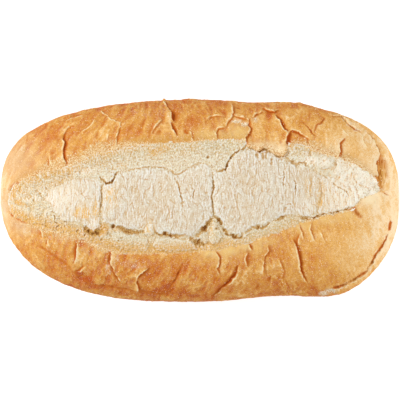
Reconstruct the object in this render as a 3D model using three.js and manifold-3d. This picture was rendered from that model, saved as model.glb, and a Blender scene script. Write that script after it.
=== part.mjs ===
// A split-top white loaf, baked free on its base: one solid of bread, in millimetres, +Z up.
// X runs along the loaf, +Y is its back, and the flat base lies on z = 0.
import * as THREE from 'three';
import { mergeVertices } from 'three/addons/utils/BufferGeometryUtils.js';
import Module from 'manifold-3d';

// Whole loaf
const LENGTH = 260;
const HEIGHT = 82;
const HALF_LENGTH = LENGTH / 2;
const WAIST_HEIGHT = 31; // level of the widest line round the sides
const CROWN_POWER = 2.4; // squareness of the top, seen from the side
const SHOULDER_POWER = 2.3; // squareness of the top, seen from an end

// Plan outline: each long side is an oval, blunter at one end, with low swells along it
const BACK_SIDE = {
  reach: 65.6,
  left: { along: 2.22, across: 3.19 },
  right: { along: 2.92, across: 2.83 },
  swells: [{ at: 37, spread: 22, rise: -1.4 }, { at: 60, spread: 14, rise: 1.4 }],
};
const FRONT_SIDE = {
  reach: 66.6,
  left: { along: 2.91, across: 2.07 },
  right: { along: 2.3, across: 2.58 },
  swells: [{ at: 47, spread: 30, rise: -2 }, { at: 97, spread: 31, rise: 9 }],
};
const SWELL_FADE = 24; // power that closes the swells at the tips

// The long split where the crust tore open: the borders of crust and crumb in plan
const SPLIT_BACK = [
  [-125, 7], [-103, 17], [-80, 24], [-59, 33], [-15, 37.5], [30, 39], [64, 35], [90, 27],
  [113, 17], [122, 6],
];
const SPLIT_FRONT = [
  [-124, -8], [-105, -18], [-76, -24], [-52, -34.5], [-20, -36], [13, -32], [55, -19], [80, -9],
  [104, -3], [122, 3],
];
const SPLIT_ROOM = 0.62; // most of the section that the split may take, near the tips
const SPLIT_ENDS = { left: -122, right: 118, fade: 14 };
const LIP_RISE = 0.9; // crust curls up along the split
const LIP_REACH = 7;
const CRUMB_DROP = 2.4; // crumb lies under the crust's edge
const PLATES = [
  { at: [-86, 0], half: [22, 20], rise: 2.2 },
  { at: [-28, -1], half: [36, 22], rise: 3 },
  { at: [42, 8], half: [34, 24], rise: 3.2 },
  { at: [86, 7], half: [20, 12], rise: 2.4 },
];
const PLATE_POWER = 4; // squareness of a plate of crumb in plan

// Low swells of the crust from an uneven dough: wave counts along and across, phase and height
const DOUGH_WAVES = [
  { along: 2.3, across: 1.1, phase: 0.4, rise: 0.7 },
  { along: 4.1, across: -1.7, phase: 2.1, rise: 0.5 },
  { along: 6.7, across: 2.9, phase: 4.0, rise: 0.35 },
];

// Cracks, each a tapered groove between two points in plan, bowed to one side
const CRUMB_CRACKS = [
  { from: [-66, 13], to: [-47, 19], bow: 2, width: 1.8, depth: 2 },
  { from: [-48, 19], to: [4, 25], bow: -2, width: 1.8, depth: 2.4 },
  { from: [9, 19], to: [31, 35], bow: -3, width: 1.8, depth: 2.2 },
  { from: [54, 29], to: [88, 13], bow: 2, width: 1.8, depth: 2.2 },
  { from: [-63, 11], to: [-65, -10], bow: 1, width: 1.6, depth: 2 },
  { from: [-15, 11], to: [-11, -5], bow: -1, width: 1.2, depth: 1.6 },
  { from: [8, 18], to: [9, -12], bow: 1, width: 1.6, depth: 2 },
  { from: [61, 15], to: [62, 2], bow: 1, width: 1.2, depth: 1.6 },
  { from: [-77, -17], to: [-63, -18], bow: -3, width: 3.2, depth: 3 },
  { from: [-57, -18], to: [-19, -24], bow: -2, width: 3.4, depth: 3.2 },
  { from: [-16, -23], to: [7, -29], bow: -1, width: 3, depth: 3 },
  { from: [9, -11], to: [2, -20], bow: -1, width: 2.6, depth: 3 },
  { from: [10, -11], to: [28, -24], bow: 2, width: 3, depth: 3.2 },
  { from: [35, -18], to: [57, -11], bow: -1, width: 2.8, depth: 3 },
  { from: [64, -11], to: [103, -4], bow: -1, width: 2.4, depth: 2.6 },
];
const CRUST_CRACKS = [
  { from: [-88, 45], to: [-87, 24], bow: -1, width: 1.8, depth: 2 },
  { from: [-23, 61], to: [-15, 42], bow: 2, width: 1.6, depth: 1.8 },
  { from: [33, 54], to: [31, 36], bow: 1, width: 1.6, depth: 1.8 },
  { from: [49, 56], to: [57, 35], bow: 3, width: 2.4, depth: 2.4 },
  { from: [58, 38], to: [71, 39], bow: 1, width: 7, depth: 1.8 },
  { from: [66, 52], to: [78, 41], bow: 1, width: 1.6, depth: 1.8 },
  { from: [84, 54], to: [119, 23], bow: 6, width: 2.2, depth: 2.4 },
  { from: [119, 24], to: [117, 6], bow: 1, width: 3, depth: 2.4 },
  { from: [123, -14], to: [96, -54], bow: -5, width: 2.2, depth: 2.2 },
  { from: [60, -25], to: [70, -54], bow: 2, width: 2, depth: 2.2 },
  { from: [45, -29], to: [41, -48], bow: -1, width: 1.6, depth: 1.6 },
  { from: [24, -43], to: [9, -61], bow: 2, width: 1.8, depth: 2 },
  { from: [-11, -41], to: [-19, -58], bow: 1, width: 1.6, depth: 1.8 },
  { from: [-80, -26], to: [-83, -43], bow: 1, width: 1.8, depth: 1.8 },
  { from: [-111, -26], to: [-58, -56], bow: -4, width: 2, depth: 1.8 },
];
const CRACK_STEP = 5; // spacing of the stations along a crack
const CRACK_WANDER = 0.9; // sideways wander of a crack between its ends
const CRACK_TAPER = 0.4; // power of the taper to the ends of a crack
const CRACK_LIFT = 1.6; // a groove's cutter starts this far above the crust
const CRACK_RUN_OUT = 0.3; // its keel leaves the crust by this much at each end
const CRACK_EDGE = 0.95; // cracks stop short of the waist
const CRACK_SEED = 7;

// Facets of the body
const STATIONS = 76;
const BASE_STATION = 14; // the flat base starts and ends on this station, counted from the tips
const BASE_SHARE = Math.cos(Math.PI * BASE_STATION / STATIONS); // flat base against the waist outline
const BASE_STEPS = 2; // each side of the middle of the base
const UNDER_STEPS = 5; // base to waist
const TIP_SPREAD = 1.6; // past the base, the steps under a tip gather at the middle by this power
const CRUST_STEPS = 11; // waist to split
const SPLIT_STEPS = 14; // across the split
const LIP_SHARE = 0.022; // first and last step of the split
const RING_STEPS = 2 * (BASE_STEPS + UNDER_STEPS + CRUST_STEPS) + SPLIT_STEPS;

const CRUST_COLOUR = 0xdb9c58;
const CRUST_ROUGHNESS = 0.62;
const QUARTER_TURN = Math.PI / 2;
const TINY = 1e-6;

const bell = (value) => Math.exp(-(value ** 2));
const clamp = THREE.MathUtils.clamp;
const smoothstep = THREE.MathUtils.smoothstep;
const share = (x) => Math.min(1, Math.abs(x) / HALF_LENGTH);

function sideReach(side, x) {
  const end = x < 0 ? side.left : side.right;
  const oval = side.reach * (1 - share(x) ** end.along) ** (1 / end.across);
  const fade = Math.sqrt(1 - share(x) ** SWELL_FADE);
  const swell = side.swells.reduce((sum, { at, spread, rise }) => sum + rise * bell((x - at) / spread), 0);
  return oval + swell * fade;
}

function section(x) {
  const back = sideReach(BACK_SIDE, x);
  const front = -sideReach(FRONT_SIDE, x);
  return { back, front, middle: (back + front) / 2, half: (back - front) / 2 };
}

// Height on a curve through points of increasing x, by Catmull-Rom
function levelAt(points, x) {
  const last = points.length - 1;
  const held = clamp(x, points[0][0], points[last][0]);
  const index = clamp(points.findIndex((point) => point[0] >= held), 1, last);
  const pointAt = (i) => points[clamp(i, 0, last)];
  const [before, start, end, after] = [index - 2, index - 1, index, index + 1].map(pointAt);
  const slope = (a, b) => (b[1] - a[1]) / (b[0] - a[0]);
  const span = end[0] - start[0];
  const t = (held - start[0]) / span;
  const startRun = span * slope(before, end);
  const endRun = span * slope(start, after);
  const eased = t * t * (3 - 2 * t);
  return start[1] + (end[1] - start[1]) * eased
    + startRun * t * (1 - t) ** 2 - endRun * t * t * (1 - t);
}

function splitBorders(x, { middle, half }) {
  return {
    front: Math.max(levelAt(SPLIT_FRONT, x), middle - SPLIT_ROOM * half),
    back: Math.min(levelAt(SPLIT_BACK, x), middle + SPLIT_ROOM * half),
  };
}

// Upper surface before the split and the swells are added
function domeHeight(x, y, { middle, half }) {
  const crown = Math.sqrt(1 - share(x) ** CROWN_POWER);
  const across = half > 0 ? Math.min(1, Math.abs(y - middle) / half) : 0;
  const shoulder = Math.sqrt(1 - across ** SHOULDER_POWER);
  return WAIST_HEIGHT + (HEIGHT - LIP_RISE - WAIST_HEIGHT) * crown * shoulder;
}

function doughSwell(x, y, { middle, half }) {
  const across = half > 0 ? (y - middle) / half : 0;
  const calm = (1 - clamp(across ** 2, 0, 1)) * (1 - share(x) ** 4);
  const waves = DOUGH_WAVES.map((wave) => {
    const turns = wave.along * x / HALF_LENGTH + wave.across * across;
    return wave.rise * Math.sin(Math.PI * turns + wave.phase);
  });
  return calm * waves.reduce((sum, rise) => sum + rise, 0);
}

function plateRise(x, y) {
  return PLATES.reduce((top, { at, half, rise }) => {
    const along = Math.abs((x - at[0]) / half[0]) ** PLATE_POWER;
    const across = Math.abs((y - at[1]) / half[1]) ** PLATE_POWER;
    return Math.max(top, rise * Math.sqrt(Math.max(0, 1 - along - across)));
  }, 0);
}

// Curled crust outside the split, dropped crumb with its plates inside it
function splitRelief(x, y, borders) {
  const open = smoothstep(x, SPLIT_ENDS.left, SPLIT_ENDS.left + SPLIT_ENDS.fade)
    * (1 - smoothstep(x, SPLIT_ENDS.right - SPLIT_ENDS.fade, SPLIT_ENDS.right));
  const outside = Math.max(y - borders.back, borders.front - y);
  const relief = outside >= 0 ? LIP_RISE * bell(outside / LIP_REACH) : plateRise(x, y) - CRUMB_DROP;
  return open * relief;
}

function topHeight(x, y) {
  const cut = section(x);
  return domeHeight(x, y, cut) + doughSwell(x, y, cut) + splitRelief(x, y, splitBorders(x, cut));
}

// The upper half of one section, from the back waist over the split to the front waist
function topPoint(x, cut, step) {
  const borders = splitBorders(x, cut);
  let y;
  if (step <= CRUST_STEPS) {
    y = borders.back + (cut.back - borders.back) * Math.sin(QUARTER_TURN * (1 - step / CRUST_STEPS));
  } else if (step < CRUST_STEPS + SPLIT_STEPS) {
    const even = (step - CRUST_STEPS - 1) / (SPLIT_STEPS - 2);
    y = THREE.MathUtils.lerp(borders.back, borders.front, LIP_SHARE + (1 - 2 * LIP_SHARE) * even);
  } else {
    const out = (step - CRUST_STEPS - SPLIT_STEPS) / CRUST_STEPS;
    y = borders.front + (cut.front - borders.front) * Math.sin(QUARTER_TURN * out);
  }
  return [y, topHeight(x, y)];
}

// The lower half of one side, from the middle of the base out to the waist: the outline shrinks as it
// turns under, down to the flat base
function underPoint(x, side, step) {
  const onBase = share(x) < BASE_SHARE;
  if (onBase && step < BASE_STEPS) {
    return [BASE_SHARE * sideReach(side, x / BASE_SHARE) * step / BASE_STEPS, 0];
  }
  const firstTurn = Math.asin(Math.max(0, (share(x) - BASE_SHARE) / (1 - BASE_SHARE)));
  const allSteps = BASE_STEPS + UNDER_STEPS;
  const out = onBase ? (step - BASE_STEPS) / UNDER_STEPS : (step / allSteps) ** TIP_SPREAD;
  const turn = THREE.MathUtils.lerp(firstTurn, QUARTER_TURN, out);
  const scale = BASE_SHARE + (1 - BASE_SHARE) * Math.sin(turn);
  return [scale * sideReach(side, x / scale), WAIST_HEIGHT * (1 - Math.cos(turn))];
}

function ringPoint(x, step) {
  const cut = section(x);
  const lower = BASE_STEPS + UNDER_STEPS;
  const upper = RING_STEPS - 2 * lower;
  if (step <= lower) {
    return underPoint(x, BACK_SIDE, step);
  }
  if (step < lower + upper) {
    return topPoint(x, cut, step - lower);
  }
  const [reach, z] = underPoint(x, FRONT_SIDE, RING_STEPS - step);
  return [-reach, z];
}

// Vertices shared between faces, with positions alone
function welded(geometry) {
  geometry.deleteAttribute('normal');
  geometry.deleteAttribute('uv');
  return mergeVertices(geometry);
}

// A sphere with its poles at the loaf's tips, each ring drawn out to the loaf's section
function loafBody() {
  const geometry = welded(new THREE.SphereGeometry(1, RING_STEPS, STATIONS));
  const places = geometry.getAttribute('position');
  const unit = new THREE.Vector3();
  for (let i = 0; i < places.count; i += 1) {
    unit.fromBufferAttribute(places, i).normalize();
    const x = HALF_LENGTH * unit.y;
    const turn = Math.atan2(unit.z, -unit.x) / (2 * Math.PI);
    const step = Math.round(RING_STEPS * (turn + 1)) % RING_STEPS;
    const isTip = Math.hypot(unit.x, unit.z) < TINY;
    const [y, z] = isTip ? [0, WAIST_HEIGHT] : ringPoint(x, step);
    places.setXYZ(i, x, y, z);
  }
  return geometry;
}

// Repeatable draws from 0 to 1
function seededDraws(seed) {
  let state = seed;
  return () => {
    state = (Math.imul(state, 1664525) + 1013904223) >>> 0;
    return state / 2 ** 32;
  };
}

// Point on the upper surface, with the direction that faces out of the bread there
function surfaceAt(x, y) {
  const { middle, half } = section(x);
  const held = clamp(y, middle - CRACK_EDGE * half, middle + CRACK_EDGE * half);
  const reach = 0.5;
  const slopeX = (topHeight(x + reach, held) - topHeight(x - reach, held)) / (2 * reach);
  const slopeY = (topHeight(x, held + reach) - topHeight(x, held - reach)) / (2 * reach);
  return {
    point: new THREE.Vector3(x, held, topHeight(x, held)),
    normal: new THREE.Vector3(-slopeX, -slopeY, 1).normalize(),
  };
}

function crackStations({ from, to, bow }, steps, draw) {
  const start = new THREE.Vector2(...from);
  const run = new THREE.Vector2(...to).sub(start);
  const sideways = new THREE.Vector2(-run.y, run.x).normalize();
  return Array.from({ length: steps + 1 }, (_, i) => {
    const t = i / steps;
    const arch = 4 * t * (1 - t);
    const wander = i % steps ? CRACK_WANDER * (2 * draw() - 1) : 0;
    const plan = start.clone().addScaledVector(run, t).addScaledVector(sideways, bow * arch + wander);
    return { ...surfaceAt(plan.x, plan.y), taper: arch ** CRACK_TAPER };
  });
}

// A three-sided bar along the crack, its keel in the bread and its two other edges above the crust
function crackCutter(crack, draw) {
  const length = Math.hypot(crack.to[0] - crack.from[0], crack.to[1] - crack.from[1]);
  const steps = Math.max(3, Math.round(length / CRACK_STEP));
  const stations = crackStations(crack, steps, draw);
  const geometry = welded(new THREE.CylinderGeometry(1, 1, 1, 3, steps));
  const places = geometry.getAttribute('position');
  const corner = new THREE.Vector3();
  for (let i = 0; i < places.count; i += 1) {
    corner.fromBufferAttribute(places, i);
    const index = Math.round((0.5 - corner.y) * steps);
    const { point, normal, taper } = stations[index];
    const ahead = stations[Math.min(steps, index + 1)].point;
    const behind = stations[Math.max(0, index - 1)].point;
    const right = ahead.clone().sub(behind).cross(normal).normalize();
    const depth = crack.depth * taper - CRACK_RUN_OUT * (1 - taper);
    const mouth = crack.width / 2 * taper;
    const flare = Math.max(CRACK_RUN_OUT, mouth * (depth + CRACK_LIFT) / Math.max(depth, CRACK_RUN_OUT));
    const isCapMiddle = Math.hypot(corner.x, corner.z) < TINY;
    const isKeel = Math.round(corner.z) === 1;
    const cornerRise = isKeel ? -depth : CRACK_LIFT;
    const rise = isCapMiddle ? (2 * CRACK_LIFT - depth) / 3 : cornerRise;
    const aside = Math.round(corner.x) * flare;
    const place = point.clone().addScaledVector(normal, rise).addScaledVector(right, aside);
    places.setXYZ(i, place.x, place.y, place.z);
  }
  return geometry;
}

const wasm = await Module();
wasm.setup();

function toSolid(geometry) {
  return new wasm.Manifold(new wasm.Mesh({
    numProp: 3,
    vertProperties: Float32Array.from(geometry.getAttribute('position').array),
    triVerts: Uint32Array.from(geometry.getIndex().array),
  }));
}

function toGeometry(solid) {
  const { vertProperties, triVerts } = solid.getMesh();
  const geometry = new THREE.BufferGeometry();
  geometry.setAttribute('position', new THREE.BufferAttribute(vertProperties, 3));
  geometry.setIndex(new THREE.BufferAttribute(triVerts, 1));
  return geometry;
}

// Cut every crack, and keep the loaf itself if a cut frees a crumb
function crackedLoaf() {
  const draw = seededDraws(CRACK_SEED);
  const cutters = [...CRUMB_CRACKS, ...CRUST_CRACKS].map((crack) => toSolid(crackCutter(crack, draw)));
  const cut = cutters.reduce((solid, cutter) => solid.subtract(cutter), toSolid(loafBody()));
  const [largest] = cut.decompose().sort((a, b) => b.volume() - a.volume());
  return toGeometry(largest);
}

// The loaf stands over the middle of its own box
function centred(geometry) {
  geometry.computeBoundingBox();
  const { min, max } = geometry.boundingBox;
  return geometry.translate(-(min.x + max.x) / 2, -(min.y + max.y) / 2, -min.z);
}

const crust = new THREE.MeshStandardMaterial({
  color: CRUST_COLOUR,
  roughness: CRUST_ROUGHNESS,
  metalness: 0,
});
const loaf = new THREE.Mesh(centred(crackedLoaf()), crust);
loaf.name = 'loaf';

const bread = new THREE.Group();
bread.add(loaf);

export default bread;
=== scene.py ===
import math
from types import SimpleNamespace

import bpy
import numpy as np
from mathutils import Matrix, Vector, noise


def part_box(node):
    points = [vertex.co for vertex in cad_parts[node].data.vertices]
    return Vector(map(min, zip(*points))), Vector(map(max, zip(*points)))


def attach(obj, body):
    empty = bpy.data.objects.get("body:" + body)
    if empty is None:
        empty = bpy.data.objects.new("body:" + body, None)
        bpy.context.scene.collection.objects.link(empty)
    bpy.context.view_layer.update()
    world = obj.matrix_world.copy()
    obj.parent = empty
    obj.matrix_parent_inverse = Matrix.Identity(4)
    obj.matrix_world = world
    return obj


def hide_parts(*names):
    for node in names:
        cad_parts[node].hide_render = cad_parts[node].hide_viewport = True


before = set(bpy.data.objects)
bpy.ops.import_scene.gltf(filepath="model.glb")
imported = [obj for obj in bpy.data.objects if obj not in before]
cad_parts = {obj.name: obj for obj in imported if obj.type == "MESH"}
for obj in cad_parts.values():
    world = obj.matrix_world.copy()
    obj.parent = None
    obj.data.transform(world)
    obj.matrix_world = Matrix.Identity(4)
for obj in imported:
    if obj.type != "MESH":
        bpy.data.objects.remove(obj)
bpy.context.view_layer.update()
boxLow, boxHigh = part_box("loaf")
mm = 0.001
tiny = 1e-9   # keeps a division from failing
scene = bpy.context.scene

# the loaf's form, in millimetres, as the solid has it
curlRise = 1.0   # the curled crust stands this much over the dome
loafForm = {
    "length": (boxHigh.x - boxLow.x) / mm,
    "height": (boxHigh.z - boxLow.z) / mm - curlRise,
    "waistHeight": 31.0,
    "baseShare": 0.837,   # flat base against the waist outline
    "crownPower": 2.4,
    "shoulderPower": 2.3,
    "calmPower": 4,       # how soon the swells of the dough die out at the tips
    "swellFade": 24,
    "back": {"reach": 65.6, "left": (2.22, 3.19), "right": (2.92, 2.83),
             "swells": [(37, 22, -1.4), (60, 14, 1.4)]},
    "front": {"reach": 66.6, "left": (2.91, 2.07), "right": (2.3, 2.58),
              "swells": [(47, 30, -2.0), (97, 31, 9.0)]},
    "doughWaves": [(2.3, 1.1, 0.4, 0.7), (4.1, -1.7, 2.1, 0.5), (6.7, 2.9, 4.0, 0.35)],
    "outlineSteps": 2001,
}
halfLength = loafForm["length"] / 2

# the photo looks straight down: its middle is over the loaf's, and its up is the loaf's back
photo = {"size": 400, "middle": 199.5, "loafSpan": 398, "cameraHeight": 5000.0}
mmPerPixel = loafForm["length"] / photo["loafSpan"]
seedShift = np.array([7.31, 3.17, 5.53])   # how far each seed moves the noise


def bell(value):
    return np.exp(-np.square(value))


def ease(value, low, high):
    t = np.clip((value - low) / (high - low), 0, 1)
    return t * t * (3 - 2 * t)


def noiseAt(points, size, seed):
    # smooth noise from -1 to 1, its lumps about size millimetres along each axis
    rows = points / np.asarray(size, float) + seed * seedShift
    return np.fromiter((noise.noise(row) for row in rows.tolist()), float, len(rows))


def asLine(values):
    # points along the first axis
    return np.column_stack([values, np.zeros_like(values), np.zeros_like(values)])


def sideReach(side, x):
    share = np.minimum(1, np.abs(x) / halfLength)
    along = np.where(x < 0, side["left"][0], side["right"][0])
    across = np.where(x < 0, side["left"][1], side["right"][1])
    oval = side["reach"] * (1 - share ** along) ** (1 / across)
    swell = sum(rise * bell((x - at) / spread) for at, spread, rise in side["swells"])
    return oval + swell * np.sqrt(1 - share ** loafForm["swellFade"])


def sectionAt(x):
    back = sideReach(loafForm["back"], x)
    front = -sideReach(loafForm["front"], x)
    return back, front, (back + front) / 2, np.maximum((back - front) / 2, tiny)


def topHeight(x, y):
    # upper surface of the plain loaf: a dome with the low swells of uneven dough
    _, _, middle, half = sectionAt(x)
    share = np.minimum(1, np.abs(x) / halfLength)
    across = np.clip((y - middle) / half, -1, 1)
    crown = np.sqrt(1 - share ** loafForm["crownPower"])
    shoulder = np.sqrt(1 - np.abs(across) ** loafForm["shoulderPower"])
    calm = (1 - across ** 2) * (1 - share ** loafForm["calmPower"])
    swell = sum(rise * np.sin(math.pi * (along * x / halfLength + turn * across) + phase)
                for along, turn, phase, rise in loafForm["doughWaves"])
    waist = loafForm["waistHeight"]
    return waist + (loafForm["height"] - waist) * crown * shoulder + calm * swell


def fromPhoto(pixels):
    # where the camera's line through each photo point meets the upper surface
    flat = (np.asarray(pixels, float) - photo["middle"]) * [mmPerPixel, -mmPerPixel]
    waist = loafForm["waistHeight"]
    nearer = (photo["cameraHeight"] - topHeight(*flat.T)) / (photo["cameraHeight"] - waist)
    return flat * nearer[:, None]


# the torn borders of the crust, as photo points from left to right
split = {
    "back": fromPhoto([(9, 188), (21, 180.5), (42, 172.8), (63, 169), (77, 163.7), (91, 154.6),
        (110, 149.6), (128, 146), (160, 142.6), (183, 142), (210, 139.8), (228, 139), (247, 139.5),
        (263, 141.5), (284, 144), (298, 146), (310, 148), (320, 151.8), (338, 158), (353, 163.7),
        (362, 169.4), (371, 174.5), (376, 180.5), (379.5, 187.5), (386, 190)]),
    "front": fromPhoto([(9.8, 212.5), (15.4, 216.7), (26.7, 222.3), (39.3, 227.2), (52, 230), (68.8, 233.5),
        (84, 237), (100, 246), (119.5, 251.6), (139, 252.8), (167, 252.8), (185, 251.8), (200, 250.6),
        (219.5, 248.6), (232, 245.4), (246, 242), (256.7, 238.4), (270.7, 233.5), (283.3, 229.3),
        (294, 225), (300, 220.5), (313, 219.5), (320, 216), (339, 212.5), (353, 207.8), (357.5, 202),
        (362, 196.6), (370, 192.4), (378, 191), (387, 191.6)]),
    # a flap of the back crust that hangs over the crumb
    "flap": fromPhoto([(245.6, 139.5), (247.2, 145.6), (252, 146.6), (257.6, 149.6), (260.5, 147.6),
        (263, 146.2), (267.4, 147.4), (271, 150.4), (274.4, 153), (278.6, 155), (283, 154.6), (285.6, 151),
        (287, 146), (288, 143)]),
    "room": 0.62,                  # most of a section that the split may take
    "troughDepth": 9.0,            # the crumb is set into a trough of this depth
    "leftEnd": (-127.5, -118.0),   # the trough deepens between these places
    "rightEnd": (109.0, 119.5),
    "leftFringe": (-128.5, -121.0),
    "ragged": 0.5,                 # small tears of the border: height, then size and seed
    "raggedLumps": {"back": ((1.3, 1, 1), 3), "front": ((1.3, 1, 1), 8)},
    "tearLumps": {"back": ((3.1, 1, 1), 5), "front": ((3.3, 1, 1), 12)},
    "tears": {                     # height of the larger tears, by photo column
        "columns": [0, 120, 180, 240, 290, 330, 370, 400],
        "back": [0.8, 0.3, 0.3, 0.5, 1.3, 1.8, 1.2, 0.3],
        "front": [1.0, 0.5, 0.6, 1.2, 0.7, 0.4, 0.3, 0.3],
    },
}


def byColumn(x, table, side):
    columns = (np.array(table["columns"]) - photo["middle"]) * mmPerPixel
    return np.interp(x, columns, table[side])


def bySide(x, table, atBack):
    return np.where(atBack, byColumn(x, table, "back"), byColumn(x, table, "front"))


def flapBorder(x):
    return np.interp(x, *split["flap"].T, left=np.inf, right=np.inf)


def tornBorder(x, border, side):
    frayed = border + split["ragged"] * noiseAt(asLine(x), *split["raggedLumps"][side])
    return frayed + byColumn(x, split["tears"], side) * noiseAt(asLine(x), *split["tearLumps"][side])


def splitBorders(x, torn):
    # smooth borders for the crumb, or torn ones for the crust
    _, _, middle, half = sectionAt(x)
    back = np.interp(x, *split["back"].T)
    front = np.interp(x, *split["front"].T)
    if torn:
        back = np.minimum(tornBorder(x, back, "back"), flapBorder(x))
        front = tornBorder(x, front, "front")
    return (np.minimum(back, middle + split["room"] * half),
            np.maximum(front, middle - split["room"] * half))


def splitOpening(x):
    return ease(x, *split["leftEnd"]) * (1 - ease(x, *split["rightEnd"]))


def crack(gap, depth, rim, *pixels):
    # its opening and depth in millimetres, the side of its curled edge, and photo points along it
    return {"gap": gap, "depth": depth, "rim": rim, "pixels": pixels}


def plate(rise, *pixels):
    # a piece of crumb that stands up: its height in millimetres, and photo points round it
    return {"rise": rise, "pixels": pixels}


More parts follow.
